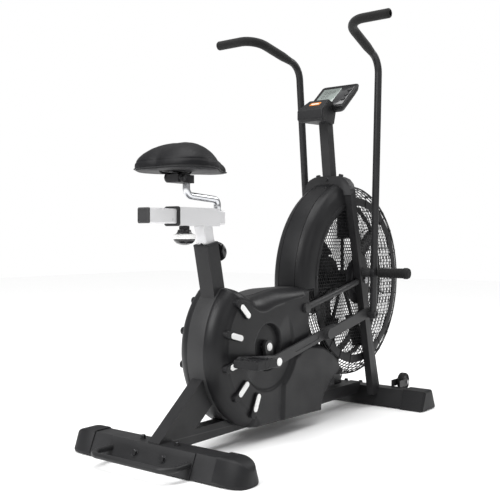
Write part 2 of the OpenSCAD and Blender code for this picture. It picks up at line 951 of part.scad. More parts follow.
// Round knob with a threaded stem: the stem starts at the origin and points up
module knob(stem, neck_r, stem_r) {
  cylinder(h = stem, r = stem_r);
  translate([0, 0, stem]) rotate_extrude() polygon([[0, 0], [neck_r, 0], [neck_r, 8],
    [neck_r + 5, 12], [28, 16], [28.5, 22], [26, 27], [18, 31], [8, 33], [0, 33.5]]);
}

module height_knob() {
  color("#141415") seat_frame() translate([19, 0, 487]) rotate([0, 90, 0]) knob(9, 12, 7.5);
}

module slider_knob() {
  color("#141415") translate([lock_x, 0, 640]) rotate([180, 0, 0]) knob(24, 12, 7.5);
}

// ---------------------------------------------------------------- console

// Console frame: origin at the middle of the face, +X up the slope, +Z out of the face
module console_frame() {
  translate([303, 0, 1101]) rotate([0, -console_tilt, 0]) children();
}

// Keys stand in a column on the rider's right of the screen
key_y = -52;
function key_x(i) = 34 - 30 * i;

module console_housing() {
  color("#18181a") difference() {
    union() {
      console_frame() translate([-72, -console_w / 2, -34]) cube([144, console_w, 34]);
      plate_y([[152, 985], [278, 985], [290, 1040], [260, 1064], [246, 1052], [152, 1045]], -50, 50);
    }
    mast_core(0);
    console_frame() {
      translate([-50, -27, -2]) cube([104, 90, 10]);
      for (i = [0 : 2]) translate([key_x(i), key_y, -6]) cylinder(h = 10, r = 9);
    }
  }
}

module console_screen() {
  color("#8f9a94") console_frame() translate([-49.5, -26.5, -2]) cube([103, 89, 1.6]);
}

module key(i) {
  color("#3b3b3e") console_frame() translate([key_x(i), key_y, -4.5]) cylinder(h = 6.5, r = 8.6);
}

module console_button_1() {
  key(0);
}

module console_button_2() {
  key(1);
}

module console_button_3() {
  key(2);
}

// ---------------------------------------------------------------- nodes

main_frame();
rear_stabilizer();
front_stabilizer();
rear_end_caps();
front_end_caps();
lift_loop();
base_bolts();
front_fork();
mast();
right_stay();
left_stay();
right_cover();
left_cover();
spine_cover();
right_cover_accents();
left_cover_accents();
fan_shroud();
right_cage();
left_cage();
fan_axle();
drive_belt();
crank_bearings();
right_foot_peg();
left_foot_peg();
arm_bushes();
seat_bushing();
console_housing();
console_screen();
wheel_axles();
fan_bearings();
fan_wheel();
fan_pulley();
crank_spindle();
crank_pulley();
crank_webs();
right_crank_arm();
left_crank_arm();
crank_pins();
pedal_spindles();
crank_caps();
right_pedal();
left_pedal();
right_link();
left_link();
right_arm();
left_arm();
right_arm_grip();
left_arm_grip();
seat_post();
seat_slider();
saddle_pin();
saddle_clamp();
saddle();
height_knob();
slider_knob();
console_button_1();
console_button_2();
console_button_3();
right_wheel();
left_wheel();
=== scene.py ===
import json
import math
import bmesh
import bpy
from mathutils import Matrix, Vector, noise


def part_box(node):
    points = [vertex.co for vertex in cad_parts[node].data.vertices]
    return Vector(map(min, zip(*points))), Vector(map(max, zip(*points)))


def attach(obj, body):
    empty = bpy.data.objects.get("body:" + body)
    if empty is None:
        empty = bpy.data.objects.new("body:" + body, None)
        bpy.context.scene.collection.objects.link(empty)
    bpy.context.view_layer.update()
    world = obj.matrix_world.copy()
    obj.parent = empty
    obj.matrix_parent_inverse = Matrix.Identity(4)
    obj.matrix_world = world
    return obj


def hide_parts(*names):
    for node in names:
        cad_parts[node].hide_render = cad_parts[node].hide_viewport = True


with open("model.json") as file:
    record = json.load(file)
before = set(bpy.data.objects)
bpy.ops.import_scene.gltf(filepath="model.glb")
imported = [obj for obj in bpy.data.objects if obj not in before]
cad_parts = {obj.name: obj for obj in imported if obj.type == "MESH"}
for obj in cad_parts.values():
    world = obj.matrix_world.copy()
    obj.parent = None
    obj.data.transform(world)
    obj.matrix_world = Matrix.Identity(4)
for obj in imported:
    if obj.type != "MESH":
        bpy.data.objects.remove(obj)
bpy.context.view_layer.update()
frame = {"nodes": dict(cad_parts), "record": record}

NODES = frame["nodes"]
BODY_OF = {n: b for b, ns in frame["record"]["behaviour"]["bodies"].items() for n in ns}
MM = 0.001
TAU = 2 * math.pi
SIGN = {"right": -1, "left": 1}


# ------------------------------------------------------------------ materials

ROUGH_SPREAD = 0.07


def shader(nodes, kind, values):
    """New shader node with some of its input values set."""
    node = nodes.new("ShaderNode" + kind)
    for key, value in values.items():
        node.inputs[key].default_value = value
    return node


def tinted(colour, gain, lift=0.0):
    """Colour made lighter or darker, as RGBA."""
    return [min(1, c * gain + lift) for c in colour] + [1]


def surface(name, colour, rough, metal=0.0, grain=900.0, bump=0.08, mottle=0.18, wear=0.0,
            coat=0.0, sheen=0.0, stretch=None, cells=0.0, spec=0.26):
    """Procedural finish: fine grain in the bump, slow clouds in colour and roughness, worn edges."""
    mat = bpy.data.materials.new(name)
    mat.use_nodes = True
    nodes, link = mat.node_tree.nodes, mat.node_tree.links.new
    bsdf = nodes["Principled BSDF"]
    for key, value in (("Metallic", metal), ("Coat Weight", coat), ("Coat Roughness", 0.12),
                       ("Sheen Weight", sheen), ("Specular IOR Level", spec)):
        bsdf.inputs[key].default_value = value
    source = fine_source = nodes.new("ShaderNodeTexCoord").outputs["Object"]
    if stretch:
        mapping = shader(nodes, "Mapping", {"Scale": stretch})
        link(source, mapping.inputs["Vector"])
        fine_source = mapping.outputs["Vector"]
    fine = shader(nodes, "TexNoise", {"Scale": grain, "Detail": 3.0})
    link(fine_source, fine.inputs["Vector"])
    cloud = shader(nodes, "TexNoise", {"Scale": 14.0, "Detail": 5.0})
    link(source, cloud.inputs["Vector"])
    tint = nodes.new("ShaderNodeMix")
    tint.data_type = "RGBA"
    tint.inputs["A"].default_value = tinted(colour, 1 - mottle)
    tint.inputs["B"].default_value = tinted(colour, 1 + mottle)
    link(cloud.outputs["Fac"], tint.inputs["Factor"])
    colour_out = tint.outputs["Result"]
    if wear:
        geo = nodes.new("ShaderNodeNewGeometry")
        edge = shader(nodes, "MapRange", {"From Min": 0.53, "From Max": 0.62, "To Max": wear})
        link(geo.outputs["Pointiness"], edge.inputs["Value"])
        worn = nodes.new("ShaderNodeMix")
        worn.data_type = "RGBA"
        worn.inputs["B"].default_value = tinted(colour, 2.6, 0.05)
        link(edge.outputs["Result"], worn.inputs["Factor"])
        link(colour_out, worn.inputs["A"])
        colour_out = worn.outputs["Result"]
    link(colour_out, bsdf.inputs["Base Color"])
    gloss = shader(nodes, "MapRange", {"From Min": 0.3, "From Max": 0.7,
                                       "To Min": max(0.02, rough - ROUGH_SPREAD),
                                       "To Max": min(1.0, rough + ROUGH_SPREAD)})
    link(cloud.outputs["Fac"], gloss.inputs["Value"])
    link(gloss.outputs["Result"], bsdf.inputs["Roughness"])
    height = fine.outputs["Fac"]
    if cells:
        cell = shader(nodes, "TexVoronoi", {"Scale": cells})
        cell.feature = "DISTANCE_TO_EDGE"
        link(source, cell.inputs["Vector"])
        crease = shader(nodes, "MapRange", {"From Max": 0.16})
        link(cell.outputs["Distance"], crease.inputs["Value"])
        both = nodes.new("ShaderNodeMath")
        link(crease.outputs["Result"], both.inputs[0])
        link(fine.outputs["Fac"], both.inputs[1])
        height = both.outputs["Value"]
    relief = shader(nodes, "Bump", {"Strength": bump, "Distance": 0.0006})
    link(height, relief.inputs["Height"])
    link(relief.outputs["Normal"], bsdf.inputs["Normal"])
    return mat


FRAME_PAINT = surface("frame_paint", (0.018, 0.018, 0.019), 0.40, grain=1100, bump=0.12, wear=0.3)
DARK_PAINT = surface("dark_paint", (0.034, 0.034, 0.035), 0.38, grain=1000, bump=0.10, wear=0.3)
CASING = surface("casing_plastic", (0.011, 0.011, 0.012), 0.40, grain=1400, bump=0.10, wear=0.2)
SPINE = surface("spine_plastic", (0.036, 0.036, 0.037), 0.44, grain=1400, bump=0.10)
BLACK = surface("black_plastic", (0.008, 0.008, 0.009), 0.46, grain=1500, bump=0.16, wear=0.25)
CAP = surface("cap_plastic", (0.009, 0.009, 0.010), 0.52, grain=700, bump=0.20, wear=0.3)
GLOSS = surface("gloss_black", (0.010, 0.010, 0.011), 0.16, grain=300, bump=0.02, coat=0.6)
WHITE = surface("white_plastic", (0.92, 0.92, 0.91), 0.30, grain=500, bump=0.02, mottle=0.03)
SILVER = surface("silver_paint", (0.74, 0.74, 0.75), 0.34, metal=0.25, grain=1200, bump=0.05,
                 mottle=0.05, coat=0.25)
STEEL = surface("steel", (0.45, 0.45, 0.46), 0.34, metal=1.0, grain=500, bump=0.08, mottle=0.10,
                stretch=(1, 12, 1))
DARK_STEEL = surface("dark_bolts", (0.05, 0.05, 0.052), 0.30, metal=0.8, grain=600, bump=0.08)
CHROME = surface("chrome", (0.62, 0.63, 0.65), 0.14, metal=1.0, grain=250, bump=0.01, mottle=0.04)
RUBBER = surface("rubber", (0.008, 0.008, 0.008), 0.68, grain=800, bump=0.25)
FOAM = surface("grip_foam", (0.007, 0.007, 0.007), 0.88, grain=1600, bump=0.55, mottle=0.25,
               sheen=0.15, spec=0.25)
LEATHER = surface("seat_leather", (0.006, 0.006, 0.007), 0.46, grain=600, bump=0.30, cells=260.0,
                  spec=0.2)
WIRE = surface("wire_paint", (0.011, 0.011, 0.012), 0.35, grain=900, bump=0.06)
SCREEN = surface("screen", (0.26, 0.30, 0.28), 0.22, grain=200, bump=0.01, mottle=0.10, coat=0.8)
BEZEL = surface("screen_bezel", (0.022, 0.022, 0.024), 0.18, grain=400, bump=0.02, coat=0.6)
ORANGE = surface("orange_strip", (0.75, 0.26, 0.05), 0.35, grain=500, bump=0.03, mottle=0.08)
FLOOR = surface("floor_paint", (0.93, 0.93, 0.93), 0.8, grain=60, bump=0.01, mottle=0.01)


# ------------------------------------------------------------------ mesh helpers

def box_mm(node):
    """Low and high corners of a CAD node, in millimetres."""
    low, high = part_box(node)
    return low / MM, high / MM


def middle(node):
    low, high = box_mm(node)
    return (low + high) / 2


def as_mesh(bm, name, scale=MM):
    """Mesh from a bmesh, which is freed."""
    mesh = bpy.data.meshes.new(name)
    bm.to_mesh(mesh)
    bm.free()
    mesh.transform(Matrix.Scale(scale, 4))
    return mesh


def linked(name, data):
    """Object of this data in the scene."""
    obj = bpy.data.objects.new(name, data)
    bpy.context.scene.collection.objects.link(obj)
    return obj


def put(name, bm, mat, body, nodes=(), angle=35.0):
    """Object made from a bmesh in millimetres, riding on a body and standing for CAD nodes."""
    bmesh.ops.recalc_face_normals(bm, faces=bm.faces)
    return place(name, as_mesh(bm, name), mat, body, nodes, angle)


def place(name, mesh, mat, body, nodes=(), angle=35.0):
    mesh.name = name
    mesh.polygons.foreach_set("use_smooth", [True] * len(mesh.polygons))
    mesh.set_sharp_from_angle(angle=math.radians(angle))
    if not mesh.materials:
        mesh.materials.append(mat)
    obj = linked(name, mesh)
    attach(obj, body)
    if nodes:
        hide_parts(*nodes)
    return obj


def soften(obj, width, segments=3, angle=32.0):
    """Rounds the sharp edges of an object by width, in millimetres."""
    bevel = obj.modifiers.new("edges", "BEVEL")
    bevel.width = width * MM
    bevel.segments = segments
    bevel.limit_method = "ANGLE"
    bevel.angle_limit = math.radians(angle)
    bevel.miter_outer = "MITER_ARC"
    weighted = obj.modifiers.new("normals", "WEIGHTED_NORMAL")
    weighted.keep_sharp = True
    return obj


def refine(node, mat, width=1.5, segments=3, angle=32.0):
    """Finished piece from a CAD node: coplanar faces merged and edges rounded."""
    bm = bmesh.new()
    bm.from_mesh(NODES[node].data)
    bmesh.ops.remove_doubles(bm, verts=bm.verts, dist=2e-6)
    bmesh.ops.dissolve_limit(bm, angle_limit=math.radians(0.6), verts=bm.verts, edges=bm.edges)
    mesh = as_mesh(bm, node + "_finished", 1.0)
    return soften(place(mesh.name, mesh, mat, BODY_OF[node], (node,), angle), width, segments, angle)


def rounded(points, bend, steps=8, closed=False):
    """Points with every inner corner replaced by an arc of radius bend."""
    pts = [Vector(p) for p in points]
    pts = [p for i, p in enumerate(pts) if i == 0 or (p - pts[i - 1]).length > 1e-6]
    count = len(pts)
    out = []
    for i, b in enumerate(pts):
        if not closed and i in (0, count - 1):
            out.append(b)
            continue
        a, c = pts[i - 1], pts[(i + 1) % count]
        u, v = (a - b).normalized(), (c - b).normalized()
        turn = math.pi - u.angle(v)
        if turn < 0.03:
            out.append(b)
            continue
        back = min(bend * math.tan(turn / 2), 0.48 * (a - b).length, 0.48 * (c - b).length)
        r = back / math.tan(turn / 2)
        hub = b + (u + v).normalized() * (r / math.cos(turn / 2))
        p, q = b + u * back - hub, b + v * back - hub
        out.extend(hub + p.slerp(q, k / steps).normalized() * p.length for k in range(steps + 1))
    return out


def loft(bm, rings, closed=False):
    """Skin over rings of points, capped at both ends unless the rings close on themselves."""
    made = [[bm.verts.new(p) for p in ring] for ring in rings]
    for one, two in zip(made, made[1:] + (made[:1] if closed else [])):
        for k in range(len(one)):
            j = (k + 1) % len(one)
            bm.faces.new((one[k], one[j], two[j], two[k]))
    if not closed:
        bm.faces.new(list(reversed(made[0])))
        bm.faces.new(made[-1])
    return bm


def sweep(bm, path, radius, segments=20, closed=False, caps=True):
    """Tube along a path; radius is a number or one number per point."""
    pts = [Vector(p) for p in path]
    radii = [radius] * len(pts) if isinstance(radius, (int, float)) else list(radius)
    if caps and not closed:
        for end in (0, -1):
            r = radii[end]
            inner = pts[1] if end == 0 else pts[-2]
            d = (inner - pts[end]).normalized()
            tip = pts[end].copy()
            ring = [(0.0, 0.72), (0.12, 0.90), (0.35, 1.0)]
            extra = [(tip + d * (r * a), r * b) for a, b in ring]
            if end == 0:
                pts = [e[0] for e in extra] + pts[1:]
                radii = [e[1] for e in extra] + radii[1:]
            else:
                pts = pts[:-1] + [e[0] for e in reversed(extra)]
                radii = radii[:-1] + [e[1] for e in reversed(extra)]
    count = len(pts)
    normal = None
    rings = []
    for i in range(count):
        if closed:
            t = (pts[(i + 1) % count] - pts[i - 1]).normalized()
        else:
            t = (pts[min(i + 1, count - 1)] - pts[max(i - 1, 0)]).normalized()
        if normal is None:
            guess = Vector((0, 0, 1)) if abs(t.z) < 0.9 else Vector((1, 0, 0))
            normal = t.cross(guess).normalized()
        normal = (normal - t * normal.dot(t)).normalized()
        side = t.cross(normal)
        rings.append([pts[i] + (normal * math.cos(a) + side * math.sin(a)) * radii[i]
                      for a in (k * TAU / segments for k in range(segments))])
    return loft(bm, rings, closed)


def axis_y(x, z, y=0.0, sign=1):
    """Local Z along +Y, or along -Y with sign -1, from (x, y, z)."""
    turn = Matrix.Rotation(math.radians(-90 * sign), 4, "X")
    return Matrix.Translation((x, y, z)) @ turn


def lathe(bm, profile, matrix, segments=64, start=0.0, arc=TAU):
    """Revolves (radius, height) points about the local Z axis; the profile is a closed loop,
    or open when both ends are on the axis."""
    full = abs(arc - TAU) < 1e-6
    steps = segments if full else segments + 1
    polar = profile[0][0] < 1e-6 and profile[-1][0] < 1e-6
    rings = []
    for r, h in profile:
        if r < 1e-6:
            rings.append([bm.verts.new(matrix @ Vector((0, 0, h)))] * steps)
        else:
            rings.append([bm.verts.new(matrix @ Vector((
                r * math.cos(start + arc * k / segments), r * math.sin(start + arc * k / segments), h)))
                for k in range(steps)])
    loops = list(zip(rings, rings[1:] + ([] if polar else rings[:1])))
    for one, two in loops:
        for k in range(segments):
            j = (k + 1) % steps
            quad = []
            for v in (one[k], one[j], two[j], two[k]):
                if v not in quad:
                    quad.append(v)
            if len(quad) > 2:
                bm.faces.new(quad)
    if not full:
        bm.faces.new([ring[0] for ring in rings])
        bm.faces.new([ring[-1] for ring in reversed(rings)])
    return bm


def profile(points, bend=1.0, closed=False, steps=4):
    """Rounded 2D profile from (radius, height) points."""
    return [(p.x, p.y) for p in rounded([(a, b, 0) for a, b in points], bend, steps, closed)]


def prism(bm, outline, y0, y1):
    """Solid between y0 and y1 with an outline in X and Z."""
    return loft(bm, [[(x, y, z) for x, z in outline] for y in (y0, y1)])


def block(bm, low, high, matrix=Matrix.Identity(4)):
    corners = [(x, y, z) for x in (low[0], high[0]) for y in (low[1], high[1]) for z in (low[2], high[2])]
    v = [bm.verts.new(matrix @ Vector(c)) for c in corners]
    for f in ((0, 1, 3, 2), (4, 6, 7, 5), (0, 4, 5, 1), (2, 3, 7, 6), (0, 2, 6, 4), (1, 5, 7, 3)):
        bm.faces.new([v[i] for i in f])
    return bm


def hex_bolt(bm, matrix, across=12.0, height=6.0, washer=9.0):
    """Bolt head with a washer, standing on the local XY plane."""
    lathe(bm, profile([(0, 0), (washer, 0), (washer, 1.4), (0, 1.4)], 0.4), matrix, 24)
    r = across / math.sqrt(3)
    lathe(bm, [(0, 1.3), (r, 1.3), (r, height - 1.0), (r * 0.86, height), (0, height)], matrix, 6)
    return bm


def arc_points(x, z, r, a0, a1, steps):
    return [(x + r * math.cos(math.radians(a0 + (a1 - a0) * k / steps)),
             z + r * math.sin(math.radians(a0 + (a1 - a0) * k / steps))) for k in range(steps + 1)]


def smooth_curve(points, steps=8):
    """Catmull-Rom curve through 2D points, ends included."""
    pts = [points[0]] + list(points) + [points[-1]]
    out = []
    for i in range(1, len(pts) - 2):
        p0, p1, p2, p3 = (Vector((p[0], p[1])) for p in pts[i - 1:i + 3])
        for k in range(steps):
            t = k / steps
            out.append(0.5 * (2 * p1 + (p2 - p0) * t + (2 * p0 - 5 * p1 + 4 * p2 - p3) * t * t
                              + (3 * p1 - p0 - 3 * p2 + p3) * t ** 3))
    out.append(Vector(points[-1][:2]))
    return [(p.x, p.y) for p in out]


def ramp(value, low, high):
    t = min(1.0, max(0.0, (value - low) / (high - low)))
    return t * t * (3 - 2 * t)


# ------------------------------------------------------------------ casing

CRANK = middle("crank_spindle")
FAN = middle("fan_axle")
PIVOT = middle("arm_bushes")
STAY = Vector((10, 0, 381))
DRUM_R, FACE_Y, SPINE_Y = 243.0, 79.0, 30.0
FRONT_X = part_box("spine_cover")[1].x / MM
NOSE = [(94, 42), (99, 72), (128, 108), (160, 136), (203, 157), (210, 174), (197, 196), (152, 229),
        (92, 254), (FRONT_X, 262)]


def casing_top(x):
    """Height of the casing's top: high at the seat tube, a dip, then level."""
    return 459 - 27 * ramp(x, -335, -250) + 13 * ramp(x, -235, -120)


def casing_outline():
    """Outline seen from the side: x, z, width and depth of the rounded edge, and inner |y|."""
    top = [(x, casing_top(x), 46, 45, SPINE_Y) for x in range(int(FRONT_X), -350, -12)]
    drum = [(x, z, 46, 47, SPINE_Y) for x, z in arc_points(CRANK.x, CRANK.z, DRUM_R, 132.5, 250.0, 60)]
    base = [(-262, 50, 30, 24, 50), (-235, 48, 14, 14, 58), (-100, 46, 12, 12, 58), (40, 43, 12, 12, 66)]
    nose = [(x, z, 9, 9, 70) for x, z in smooth_curve(NOSE, 5)]
    front = [(FRONT_X, z, 6, 6, 44) for z in range(268, 440, 12)]
    return [p for part in (top, front, nose, base, drum) for p in reversed(part)]


def ray_to_outline(outline, angle):
    """Where a ray from the crank axis at this angle meets the outline."""
    d = Vector((math.cos(angle), math.sin(angle)))
    best = None
    for i, a in enumerate(outline):
        b = outline[(i + 1) % len(outline)]
        p = Vector((a[0] - CRANK.x, a[1] - CRANK.z))
        e = Vector((b[0] - a[0], b[1] - a[1]))
        cross = d.x * e.y - d.y * e.x
        if abs(cross) < 1e-9:
            continue
        t = (p.x * e.y - p.y * e.x) / cross
        s = (p.x * d.y - p.y * d.x) / cross
        if t > 0 and -1e-6 <= s <= 1 + 1e-6 and (best is None or t > best[0]):
            best = (t, [a[k] + (b[k] - a[k]) * s for k in (2, 3, 4)])
    return best


def nose_depth(x, z, nose):
    """Distance inside the nose's outline, 0 outside it."""
    inside, near = False, 1e9
    for i, (x1, z1) in enumerate(nose):
        x2, z2 = nose[(i + 1) % len(nose)]
        if (z1 > z) != (z2 > z) and x < (x2 - x1) * (z - z1) / (z2 - z1) + x1:
            inside = not inside
        e = Vector((x2 - x1, z2 - z1))
        t = max(0.0, min(1.0, ((x - x1) * e.x + (z - z1) * e.y) / max(1e-9, e.length_squared)))
        near = min(near, math.hypot(x - x1 - e.x * t, z - z1 - e.y * t))
    return near if inside else 0.0


def cover(side):
    """Moulded side shell: rounded edge, stepped rim, raised nose and the round wells at the crank."""
    sign = SIGN[side]
    outline = casing_outline()
    nose = smooth_curve(NOSE, 5) + smooth_curve([(FRONT_X, 262), (18, 263), (-30, 254), (-66, 232)], 5)
    nose = nose + [(-120, 200), (-130, 40)]
    angles = {round(math.atan2(p[1] - CRANK.z, p[0] - CRANK.x) % TAU, 5) for p in outline}
    angles |= {round(k * TAU / 300, 5) for k in range(300)}
    angles = sorted(angles)
    angles = [a for i, a in enumerate(angles) if i == 0 or a - angles[i - 1] > 0.004]
    bm = bmesh.new()
    rings = []
    inner = [16, 19, 58, 64, 67.5, 70, 72, 75]
    near = [82, 94, 106, 114, 121, 126, 129, 132, 135, 138, 141, 145, 150]
    for a in angles:
        reach, (width, depth, y_in) = ray_to_outline(outline, a)
        flat = reach - width - 3
        scale = min(1.0, (flat - 75) / 75)
        radii = inner + [75 + (r - 75) * scale for r in near]
        last = radii[-1]
        radii += [last + (flat - last) * k / 26 for k in range(1, 27)]
        ring = []
        well = 5 * ramp(math.cos(a + math.radians(58)), -0.25, 0.35)
        for r in radii:
            x, z = CRANK.x + r * math.cos(a), CRANK.z + r * math.sin(a)
            y = FACE_Y
            if x > -130 and r > 120:
                y += 8.5 * ramp(nose_depth(x, z, nose), 0, 9) * ramp(r, 133, 142)
            y -= well * (1 - ramp(r, 125, 133))
            y -= (FACE_Y - well - 61.5) * (1 - ramp(r, 64, 71))
            ring.append((r, y))
        edge = ring[-1][1]
        rim = 1.8 if width > 20 else 0.0
        for k in range(9, -1, -1):
            t = math.radians(10 * k)
            drop = (depth + (edge - FACE_Y if depth < 20 else 0)) * (1 - math.sin(t))
            ring.append((reach - width + width * math.cos(t), edge - rim - drop))
        ring.append((reach - 0.3, min(y_in, ring[-1][1] - 1)))
        rings.append([bm.verts.new((CRANK.x + r * math.cos(a), sign * y, CRANK.z + r * math.sin(a)))
                      for r, y in ring])
    for i, one in enumerate(rings):
        two = rings[(i + 1) % len(rings)]
        for k in range(len(one) - 1):
            quad = (one[k], two[k], two[k + 1], one[k + 1])
            bm.faces.new(quad if sign > 0 else tuple(reversed(quad)))
    bm.normal_update()
    mid = sum(f.normal.y for f in bm.faces) * sign
    if mid < 0:
        bmesh.ops.reverse_faces(bm, faces=bm.faces)
    obj = place(side + "_casing_shell", as_mesh(bm, "cover"), CASING, "base", (side + "_cover",), 50)
    shell = obj.modifiers.new("wall", "SOLIDIFY")
    shell.thickness = 3 * MM
    shell.offset = -1


# White pills around the crank: how many, their angles in degrees, and their radii
PILL_COUNT, PILL_FIRST, PILL_STEP = 5, 137.5, 27
PILL_IN, PILL_OUT = 151, 188


def capsule(degrees, r0, r1, half, steps=12):
    """Pill outline along a ray from the crank axis, between radii r0 and r1."""
    angle = math.radians(degrees)
    (px, pz), (qx, qz) = ((CRANK.x + r * math.cos(angle), CRANK.z + r * math.sin(angle)) for r in (r0, r1))
    return arc_points(qx, qz, half, degrees - 90, degrees + 90, steps) \
        + arc_points(px, pz, half, degrees + 90, degrees + 270, steps)


def pills(side):
    """White pill faces on black bosses that stand out over the casing's rounded edge."""
    sign = SIGN[side]
    bosses, faces = bmesh.new(), bmesh.new()
    for i in range(PILL_COUNT):
        a = PILL_FIRST + PILL_STEP * i
        prism(bosses, capsule(a, PILL_IN, PILL_OUT + 18, 11), sign * 62, sign * 86.6)
        prism(faces, capsule(a, PILL_IN, PILL_OUT, 8.4), sign * 85.5, sign * 89)
    soften(put(side + "_pill_bosses", bosses, BLACK, "base", angle=40), 2.0)
    soften(put(side + "_pill_faces", faces, WHITE, "base", (side + "_cover_accents",), 40), 1.0)


def spine():
    """Middle strip of the casing, from the strut over the drum and the top to the fan guard."""
    path = [(x, z) for x, z in arc_points(CRANK.x, CRANK.z, DRUM_R - 0.5, 235, 133, 60)]
    path += [(x, casing_top(x)) for x in range(-346, int(FRONT_X), 8)] + [(FRONT_X, casing_top(FRONT_X))]
    section = profile([(-3.5, -SPINE_Y + 0.4), (1.4, -SPINE_Y + 0.4), (1.4, SPINE_Y - 0.4),
                       (-3.5, SPINE_Y - 0.4)], 1.3, closed=True)
    bm = bmesh.new()
    rings = []
    for i, p in enumerate(path):
        a, b = path[max(i - 1, 0)], path[min(i + 1, len(path) - 1)]
        t = Vector((b[0] - a[0], b[1] - a[1])).normalized()
        n = Vector((-t.y, t.x))
        rings.append([(p[0] + n.x * h, y, p[1] + n.y * h) for h, y in section])
    put("spine_strip", loft(bm, rings), SPINE, "base", ("spine_cover",), 40)


# ------------------------------------------------------------------ fan

# Where the wind guard begins and how far it goes round the fan, in degrees
GUARD_START, GUARD_SWEEP = 108.5, 74.5
# Cage screen: inner and outer radius, and |y|
SCREEN_IN, SCREEN_OUT, SCREEN_Y = 78, 268, 61.5
SPOKE = [(262, 65), (289, 65), (297, 62.4), (314, 57.6), (325, 49.5), (331.5, 34), (333.5, 18),
         (333.5, 0)]
# Rotor: number of blades, and a blade's inner and outer radius
BLADES, BLADE_IN, BLADE_OUT = 7, 148, 280


def fan_guard():
    """Crowned wind guard with a rolled edge, seam grooves and its screws."""
    half = [(272, 66.5), (273, 69.5), (277, 70.5), (282, 69.5), (284, 67.5), (300, 67.8), (316, 66.8),
            (328, 63.5), (337, 57.5), (344, 49), (348.5, 39), (350.6, 33), (349.2, 31.8),
            (349.4, 30.4), (351.2, 29.4), (352, 15)]
    outer = half + [(352, 0)] + [(r, -y) for r, y in reversed(half)]
    inner = [(r - 3.2, y - (2.5 if y > 20 else 0)) for r, y in half if r > 283]
    inner = [(275.5, 64.5)] + inner
    section = outer + [(r, -y) for r, y in inner] + [(348.8, 0)] + list(reversed(inner))
    bm = bmesh.new()
    matrix = Matrix.Translation((FAN.x, 0, FAN.z)) @ Matrix.Rotation(math.radians(90), 4, "X")
    lathe(bm, section, matrix, 90, math.radians(GUARD_START), math.radians(GUARD_SWEEP))
    put("fan_guard", bm, CASING, "base", ("fan_shroud",), 32)
    bm = bmesh.new()
    for a, y in ((115, 22), (115, -22), (150, 60), (150, -60), (176, 60), (176, -60)):
        u = Vector((math.cos(math.radians(a)), 0, math.sin(math.radians(a))))
        if abs(y) < 30:
            spot = Vector((FAN.x, y, FAN.z)) + u * 351.5
            turn = u.to_track_quat("Z", "Y").to_matrix().to_4x4()
        else:
            spot = Vector((FAN.x, math.copysign(69.6, y), FAN.z)) + u * 278
            turn = Vector((0, math.copysign(1, y), 0)).to_track_quat("Z", "X").to_matrix().to_4x4()
        lathe(bm, profile([(0, 0), (4.6, 0), (4.6, 1.8), (3.2, 3.0), (0, 3.0)], 0.5),
              Matrix.Translation(spot) @ turn, 20)
    put("guard_screws", bm, DARK_STEEL, "base")


def hex_mesh(bm, r0, r1, y, pitch, wire):
    """Flat wire screen of hexagons between two radii, as bars with a square section."""
    row, corner_r = pitch * math.sqrt(3) / 2, pitch / math.sqrt(3)
    seen = set()
    n = int(r1 / pitch) + 2
    for i in range(-n, n + 1):
        for j in range(-n, n + 1):
            cx, cz = pitch * (i + 0.5 * (j % 2)), row * j
            corners = [(round(cx + corner_r * math.sin(k * TAU / 6), 3),
                        round(cz + corner_r * math.cos(k * TAU / 6), 3)) for k in range(6)]
            for k in range(6):
                a, b = corners[k], corners[(k + 1) % 6]
                key = tuple(sorted(((round(a[0]), round(a[1])), (round(b[0]), round(b[1])))))
                if key in seen:
                    continue
                seen.add(key)
                ra, rb = math.hypot(*a), math.hypot(*b)
                if min(ra, rb) < r0 or max(ra, rb) > r1:
                    continue
                p, q = Vector((a[0], 0, a[1])), Vector((b[0], 0, b[1]))
                d = (q - p).normalized()
                p, q = p - d * wire * 0.4, q + d * wire * 0.4
                n_side = Vector((-d.z, 0, d.x)) * wire / 2
                lift = Vector((0, wire / 2, 0))
                base = Vector((FAN.x, y, FAN.z))
                loft(bm, [[base + e + s1 * n_side + s2 * lift
                           for s1, s2 in ((-1, -1), (1, -1), (1, 1), (-1, 1))] for e in (p, q)])


def ring_path(r, y, steps=120):
    return [(FAN.x + r * math.cos(k * TAU / steps), y, FAN.z + r * math.sin(k * TAU / steps))
            for k in range(steps)]


def cage(side):
    """One side of the cage: hub plate, wire screen, flat band, rings, spokes and the rim."""
    s = SIGN[side]
    name = side + "_cage"
    wires = bmesh.new()
    for r, y in ((299, 61.5), (308, 59), (317, 54.5), (324, 49)):
        sweep(wires, ring_path(r, s * y), 1.5, 6, closed=True)
    for r, y in ((329, 41), (332, 31), (333, 19), (333, 7)):
        sweep(wires, ring_path(r, s * y), 1.7, 6, closed=True)
    for k in range(24):
        a = math.radians(15 * k + 4)
        u = Vector((math.cos(a), 0, math.sin(a)))
        sweep(wires, [Vector((FAN.x, s * y, FAN.z)) + u * r for r, y in SPOKE], 1.6, 6, caps=False)
    put(name + "_wires", wires, WIRE, "base", (name,), 60)
    screen = bmesh.new()
    hex_mesh(screen, SCREEN_IN, SCREEN_OUT, s * SCREEN_Y, 12.5, 1.6)
    put(name + "_screen", screen, WIRE, "base", angle=30)
    band = bmesh.new()
    for r0, r1, y0, y1 in ((262, 290, 60.5, 64.5), (24, 83, 60.5, 65.5)):
        lathe(band, profile([(r0, y0), (r1, y0), (r1, y1), (r0, y1)], 1.2, True),
              axis_y(FAN.x, FAN.z, 0, s), 120)
    lathe(band, profile([(20, 60), (52, 60), (52, 66), (46, 69), (20, 69)], 1.5, True),
          axis_y(FAN.x, FAN.z, 0, s), 72)
    put(name + "_band", band, BLACK, "base", angle=35)


